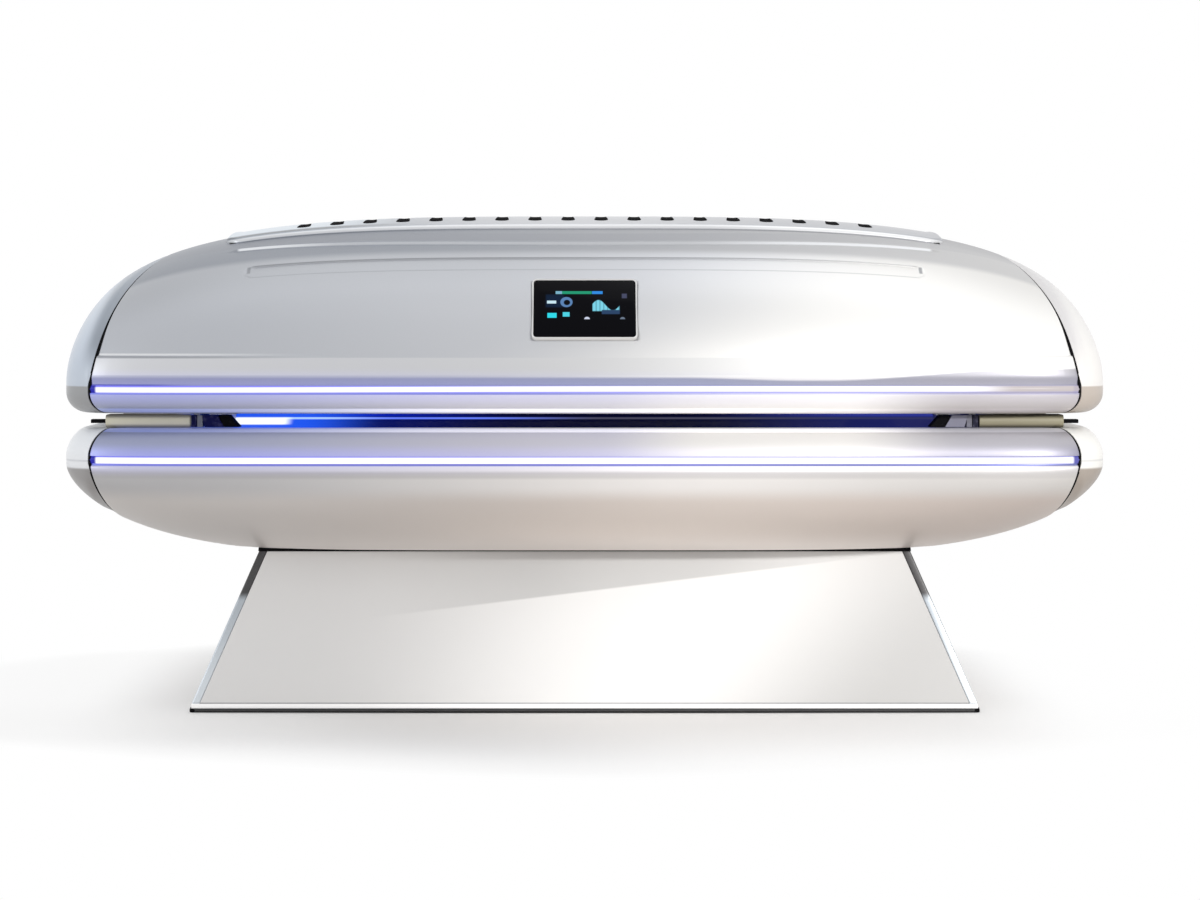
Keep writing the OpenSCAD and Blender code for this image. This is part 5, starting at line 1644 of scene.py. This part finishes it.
class BED_OT_display(bpy.types.Operator):
    """Build the display: white bezel, black glass with a lit screen, and its board"""

    bl_idname = "bed.display"
    bl_label = "Display"

    def execute(self, context):
        place = display_place()
        profile = [(0.0002, -0.0166), (0.0002, -0.0006), (0.0009, 0.0004), (0.0020, 0.0008),
                   (0.0031, 0.0004), (0.0038, -0.0006), (0.0040, -0.0020), (0.0040, -0.0166)]
        bezel = ring_solid("display_frame", bezel_outline, profile, place)
        fit(bezel, "canopy", white_gloss("bezel_white", colours().bezel, 0.2),
            "bezel_white", "display_bezel")
        faces = [(-0.0002, -0.0028), (-0.0002, -0.0006), (-0.0008, -0.0001)]
        glass = ring_solid("display_lens", bezel_outline, faces, place, closed_profile=False)
        fit(glass, "canopy", screen_finish(), "display_black", "display_glass")
        dress("display_controller",
              plastic_finish("controller_green", (0.02, 0.10, 0.045), 0.35), 0.0012)
        return {"FINISHED"}


# Carried parts


class BED_OT_pedestal(bpy.types.Operator):
    """Finish the pedestal: cladding, posts, trim, base plate, frame and feet"""

    bl_idname = "bed.pedestal"
    bl_label = "Pedestal"

    def execute(self, context):
        # The front panel gets painted shade; the rear and side panels none.
        front = panel_finish("panel_white", colours().panel, 0.12, 1.0)
        dress("front_panel", front, 0.0012, 3, panel=True)
        panel = panel_finish("side_white", colours().panel)
        dress("rear_panel side_panel_left side_panel_right", panel, 0.0012, 3, panel=True)
        dress("corner_posts", post_painted_shade_finish(), 0.003, 3)
        # The skirt trim gets a painted glow that brightens it.
        dress("skirt_trim", white_gloss("trim_white", (0.97, 0.97, 0.97), 0.22, 0.3), 0.0012)
        dress("base_plate", plastic_finish("base_black", (0.03, 0.03, 0.032), 0.4), 0.0015)
        black = matt_black("edging_black")
        # A black edging round the base plate: it covers the plate's edge and reaches down into the gap
        # under the plate, standing in for the shadow there.
        low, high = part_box("base_plate")
        edging = level_ring("base_edging_and_shadow", high.x, high.y, 0.006, [
            (-0.0050, low.z - 0.0020), (-0.0010, low.z - 0.0022), (-0.0002, low.z - 0.0014),
            (-0.0002, low.z + 0.0050), (-0.0010, low.z + 0.0056), (-0.0050, low.z + 0.0054)])
        fit(edging, "base", black, "rubber_black")
        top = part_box("front_panel")[1].z
        seal = level_ring("pedestal_top_seal", *top_corner("corner_posts"), 0.004, [
            (-0.0060, top + 0.0003), (0.0008, top + 0.0003), (0.0012, top - 0.0034),
            (0.0030, top - 0.0030), (0.0024, top + 0.0040), (-0.0060, top + 0.0046)])
        fit(seal, "base", black, "rubber_black")
        dress("pedestal_frame", metal_finish("pedestal_steel", rgb("5c6066"), 0.45, 0.7), 0.002)
        dress("power_supplies", metal_finish(
            "supply_grey", rgb("a9adb0"), 0.35, 1.0, (1, 12, 1), 0.1), 0.001)
        dress("control_cabinet", panel_finish("cabinet_grey", (0.52, 0.54, 0.55), 0.0), 0.002)
        dress("panel_screws", metal_finish("screw_steel", rgb("9a9da1"), 0.3), 0.0006)
        foot = plastic_finish("foot_dark", (0.03, 0.03, 0.03), 0.6)
        dress("foot_front_left foot_front_right foot_rear_left foot_rear_right", foot, 0.0008)
        dress("power_entry", plastic_finish("inlet_black", (0.012, 0.012, 0.013), 0.38), 0.0006)
        dress("power_rocker", plastic_finish("rocker_black", (0.02, 0.02, 0.021), 0.28), 0.0006)
        return {"FINISHED"}


def top_corner(node):
    """Half width and half depth of a carried part along its top."""
    points = [v.co for v in NODES[node].data.vertices]
    top = max(p.z for p in points) - 0.002
    upper = [p for p in points if p.z > top]
    return max(p.x for p in upper), max(p.y for p in upper)


def post_painted_shade_finish():
    """Brushed posts with painted shade: darker towards the top, and near black under the hull."""
    finish = Finish("post_silver")
    _, _, z = finish.place()
    lines = finish.noise(260, 2.0, (6, 6, 0.4))
    # Painted shade: lighter at the foot, darker higher up.
    tone = finish.mix(z.step(0.03, 0.25), rgb("dfe6ec"), rgb("b4bcc4"))
    # Painted shadow of the hull, near black, over the posts' top.
    tone = finish.mix(z.step(0.235, 0.255), tone, rgb("2b2421"))
    return finish.surface(
        Base_Color=finish.mix(lines * 0.2, tone, rgb("b8bfc6")),
        Metallic=0.5,
        Roughness=0.26 + lines * 0.08,
        Normal=finish.bump(lines, 0.00005, 0.3))


class BED_OT_tunnel(bpy.types.Operator):
    """Finish what lies inside: frames, trays, light boards, acrylic and end decks"""

    bl_idname = "bed.tunnel"
    bl_label = "Tunnel"

    def execute(self, context):
        steel = metal_finish("frame_steel", rgb("6a6e74"), 0.45, 0.7)
        tray = metal_finish("tray_alu", rgb("b9bdc2"), 0.32, 1.0, (0.4, 8, 8), 0.08)
        boards = board_finish()
        acrylic = acrylic_painted_glow_finish()
        beige = beige_painted_light_finish()
        dress("bench_frame canopy_frame", steel, 0.002)
        dress("bench_led_tray canopy_led_tray", tray)
        dress("bench_led_boards canopy_led_boards", boards)
        dress("bench_acrylic canopy_acrylic", acrylic)
        dress("bench_end_deck_left bench_end_deck_right", beige, 0.003, 3)
        dress("canopy_end_panel_left canopy_end_panel_right", beige, 0.0015)
        rubber = plastic_finish("rubber_black", (0.012, 0.012, 0.013), 0.7, 400)
        dress("rest_bumpers", rubber, 0.0012)
        dress("rear_gap_seal", rubber)
        return {"FINISHED"}


class BED_OT_hinges_and_struts(bpy.types.Operator):
    """Finish the hinges and the gas struts"""

    bl_idname = "bed.hinges_and_struts"
    bl_label = "Hinges and Struts"

    def execute(self, context):
        steel = metal_finish("hinge_steel", rgb("9a9da2"), 0.3, 1.0, (0.5, 6, 6))
        dress("hinge_lower_leaves hinge_upper_leaves hinge_pins", steel, 0.0006)
        tube = plastic_finish("strut_black", (0.02, 0.02, 0.022), 0.3, 900, 0.00005)
        rod = metal_finish("rod_chrome", rgb("d5d7d9"), 0.08, 1.0, (6, 6, 0.3), 0.0)
        dress("strut_tube_left strut_tube_right", tube, 0.0008)
        dress("strut_rod_left strut_rod_right", rod, 0.0005)
        return {"FINISHED"}


class BED_OT_fans(bpy.types.Operator):
    """Finish the fan tray, the fan housings and their rotors"""

    bl_idname = "bed.fans"
    bl_label = "Fans"

    def execute(self, context):
        dress("fan_tray", metal_finish("fan_tray_dark", rgb("3b3d41"), 0.45, 0.6))
        dress("fan_housings", plastic_finish("fan_black", (0.018, 0.018, 0.02), 0.45), 0.001)
        blades = plastic_finish("rotor_black", (0.028, 0.028, 0.031), 0.36)
        dress("fan_rotor_1 fan_rotor_2 fan_rotor_3 fan_rotor_4", blades, 0.0004)
        return {"FINISHED"}


# Stage


def studio_world(ambient):
    """White where the camera or a reflection looks at it, an even soft light elsewhere."""
    studio = Finish("studio", "worlds")
    seen, mirrored_ray, through = [
        studio.node("ShaderNodeLightPath", output=ray)
        for ray in ("Is Camera Ray", "Is Glossy Ray", "Is Transmission Ray")]
    direct = studio.maths("MAXIMUM", studio.maths("MAXIMUM", seen, mirrored_ray), through)
    strength = studio.node("ShaderNodeMapRange", values={
        "Value": direct, "To Min": ambient, "To Max": 1.0})
    light = studio.node("ShaderNodeBackground", values={"Color": (1, 1, 1), "Strength": strength})
    bpy.context.scene.world = studio.close(light, "ShaderNodeOutputWorld")


def floor_finish():
    """Pale matt floor that turns into plain white away from the bed."""
    finish = Finish("floor_pale")
    x, y, _ = finish.place()
    grain = finish.noise(40, 3.0)
    away = finish.maths("SQRT", x * x * 0.55 + y * y)
    side = abs(x).step(0.75, 1.15)
    behind = y.step(-0.5, -0.1)
    fade = abs(x).step(0.0, 0.9) * 0.40 + side * 0.25 + behind * (side - 0.8) * 0.3
    fade = fade + abs(y).step(0.65, 1.25) * 0.7 + x.step(0.75, 1.1) * 0.2
    fade = (fade + away.step(1.1, 1.5) + 0.05).step(0.0, 1.0)
    path = finish.node("ShaderNodeLightPath", output="Is Camera Ray")
    bounced = finish.node("ShaderNodeLightPath", output="Is Diffuse Ray")
    pale = finish.mix(grain * 0.15, (0.93, 0.93, 0.93), (0.90, 0.90, 0.90))
    matt = finish.node("ShaderNodeBsdfPrincipled", values={
        "Base Color": finish.mix(bounced, pale, (0.80, 0.76, 0.72)),
        "Roughness": 0.7})
    plain = finish.node("ShaderNodeEmission", values={"Color": (1, 1, 1), "Strength": 1.0})
    return finish.close(finish.node("ShaderNodeMixShader", values={
        0: path * fade, 1: matt, 2: plain}))


def lamp(name, kind, place, aim, power, colour=(1, 1, 1), **settings):
    """A lamp of one kind that looks at a point, with the kind's own settings."""
    light = bpy.data.lights.new(name, kind)
    light.energy = power
    light.color = colour
    for setting, value in settings.items():
        setattr(light, setting, value)
    made = placed(name, light)
    made.location = place
    made.rotation_euler = (Vector(aim) - Vector(place)).to_track_quat("-Z", "Y").to_euler()


class BED_OT_stage(bpy.types.Operator):
    """Set up the camera, the soft lamps, the white studio and the floor"""

    bl_idname = "bed.stage"
    bl_label = "Stage"

    def execute(self, context):
        stage = context.scene.bed_stage
        camera_data = bpy.data.cameras.new("camera")
        camera_data.lens = stage.lens
        camera_data.sensor_width = 36
        camera_data.shift_x = stage.shift_x
        camera_data.shift_y = stage.shift_y
        camera = placed("camera", camera_data)
        camera.location = (0, -stage.camera_distance, stage.camera_height)
        camera.rotation_euler = (math.radians(90), 0, 0)
        context.scene.camera = camera
        studio_world(stage.ambient)
        lamp("key_right", "SPOT", (3.2, -6.2, 2.3), (0.90, -0.4, -0.02), 900, (1.0, 0.985, 0.96),
             spot_size=math.radians(20), spot_blend=0.45, shadow_soft_size=0.25)
        lamp("fill_left", "AREA", (-4.5, -3.0, 1.8), (-0.3, 0, 0.6), 28, (0.93, 0.96, 1.0),
             shape="RECTANGLE", size=1.6, size_y=2.2)
        lamp("top", "AREA", (0, 0.2, 3.6), (0, 0, 0), 12, shape="RECTANGLE", size=3.0, size_y=2.0)
        corners = ((-FLOOR_HALF, -FLOOR_HALF), (FLOOR_HALF, -FLOOR_HALF),
                   (FLOOR_HALF, FLOOR_HALF), (-FLOOR_HALF, FLOOR_HALF))
        floor = mesh_object("floor", [(x, y, FLOOR_Z - 0.0005) for x, y in corners],
                            [(0, 1, 2, 3)])
        paint(floor, floor_finish())
        context.scene.view_settings.view_transform = "Standard"
        return {"FINISHED"}


class BED_PT_panel(bpy.types.Panel):
    """Lists the bed's pieces and its main sizes and colours"""

    bl_label = "Light Therapy Bed"
    bl_idname = "BED_PT_panel"
    bl_space_type = "VIEW_3D"
    bl_region_type = "UI"
    bl_category = "Bed"

    def draw(self, context):
        for group in ("bed_shell_sizes", "bed_colours", "bed_stage"):
            values = getattr(context.scene, group)
            column = self.layout.column()
            for name in values.__annotations__:
                column.prop(values, name)
        for piece in PIECES:
            self.layout.operator(piece.bl_idname)


GROUPS = (BedShellSizes, BedColours, BedStage)
PIECES = (BED_OT_stage, BED_OT_canopy_shell, BED_OT_end_caps, BED_OT_rest_blocks, BED_OT_lips,
          BED_OT_light_strips, BED_OT_bench_hull, BED_OT_top_deck, BED_OT_display,
          BED_OT_pedestal, BED_OT_tunnel, BED_OT_hinges_and_struts, BED_OT_fans)


def register():
    """Makes the sizes, the operators and the panel known."""
    for kind in GROUPS + PIECES + (BED_PT_panel,):
        bpy.utils.register_class(kind)
    bpy.types.Scene.bed_shell_sizes = bpy.props.PointerProperty(type=BedShellSizes)
    bpy.types.Scene.bed_colours = bpy.props.PointerProperty(type=BedColours)
    bpy.types.Scene.bed_stage = bpy.props.PointerProperty(type=BedStage)


def unregister():
    """Takes the sizes, the operators and the panel away again."""
    del bpy.types.Scene.bed_stage
    del bpy.types.Scene.bed_colours
    del bpy.types.Scene.bed_shell_sizes
    for kind in reversed(GROUPS + PIECES + (BED_PT_panel,)):
        bpy.utils.unregister_class(kind)


def main():
    """Builds every piece in order."""
    register()
    for piece in PIECES:
        group, name = piece.bl_idname.split(".")
        getattr(getattr(bpy.ops, group), name)()


if __name__ == "__main__":
    main()
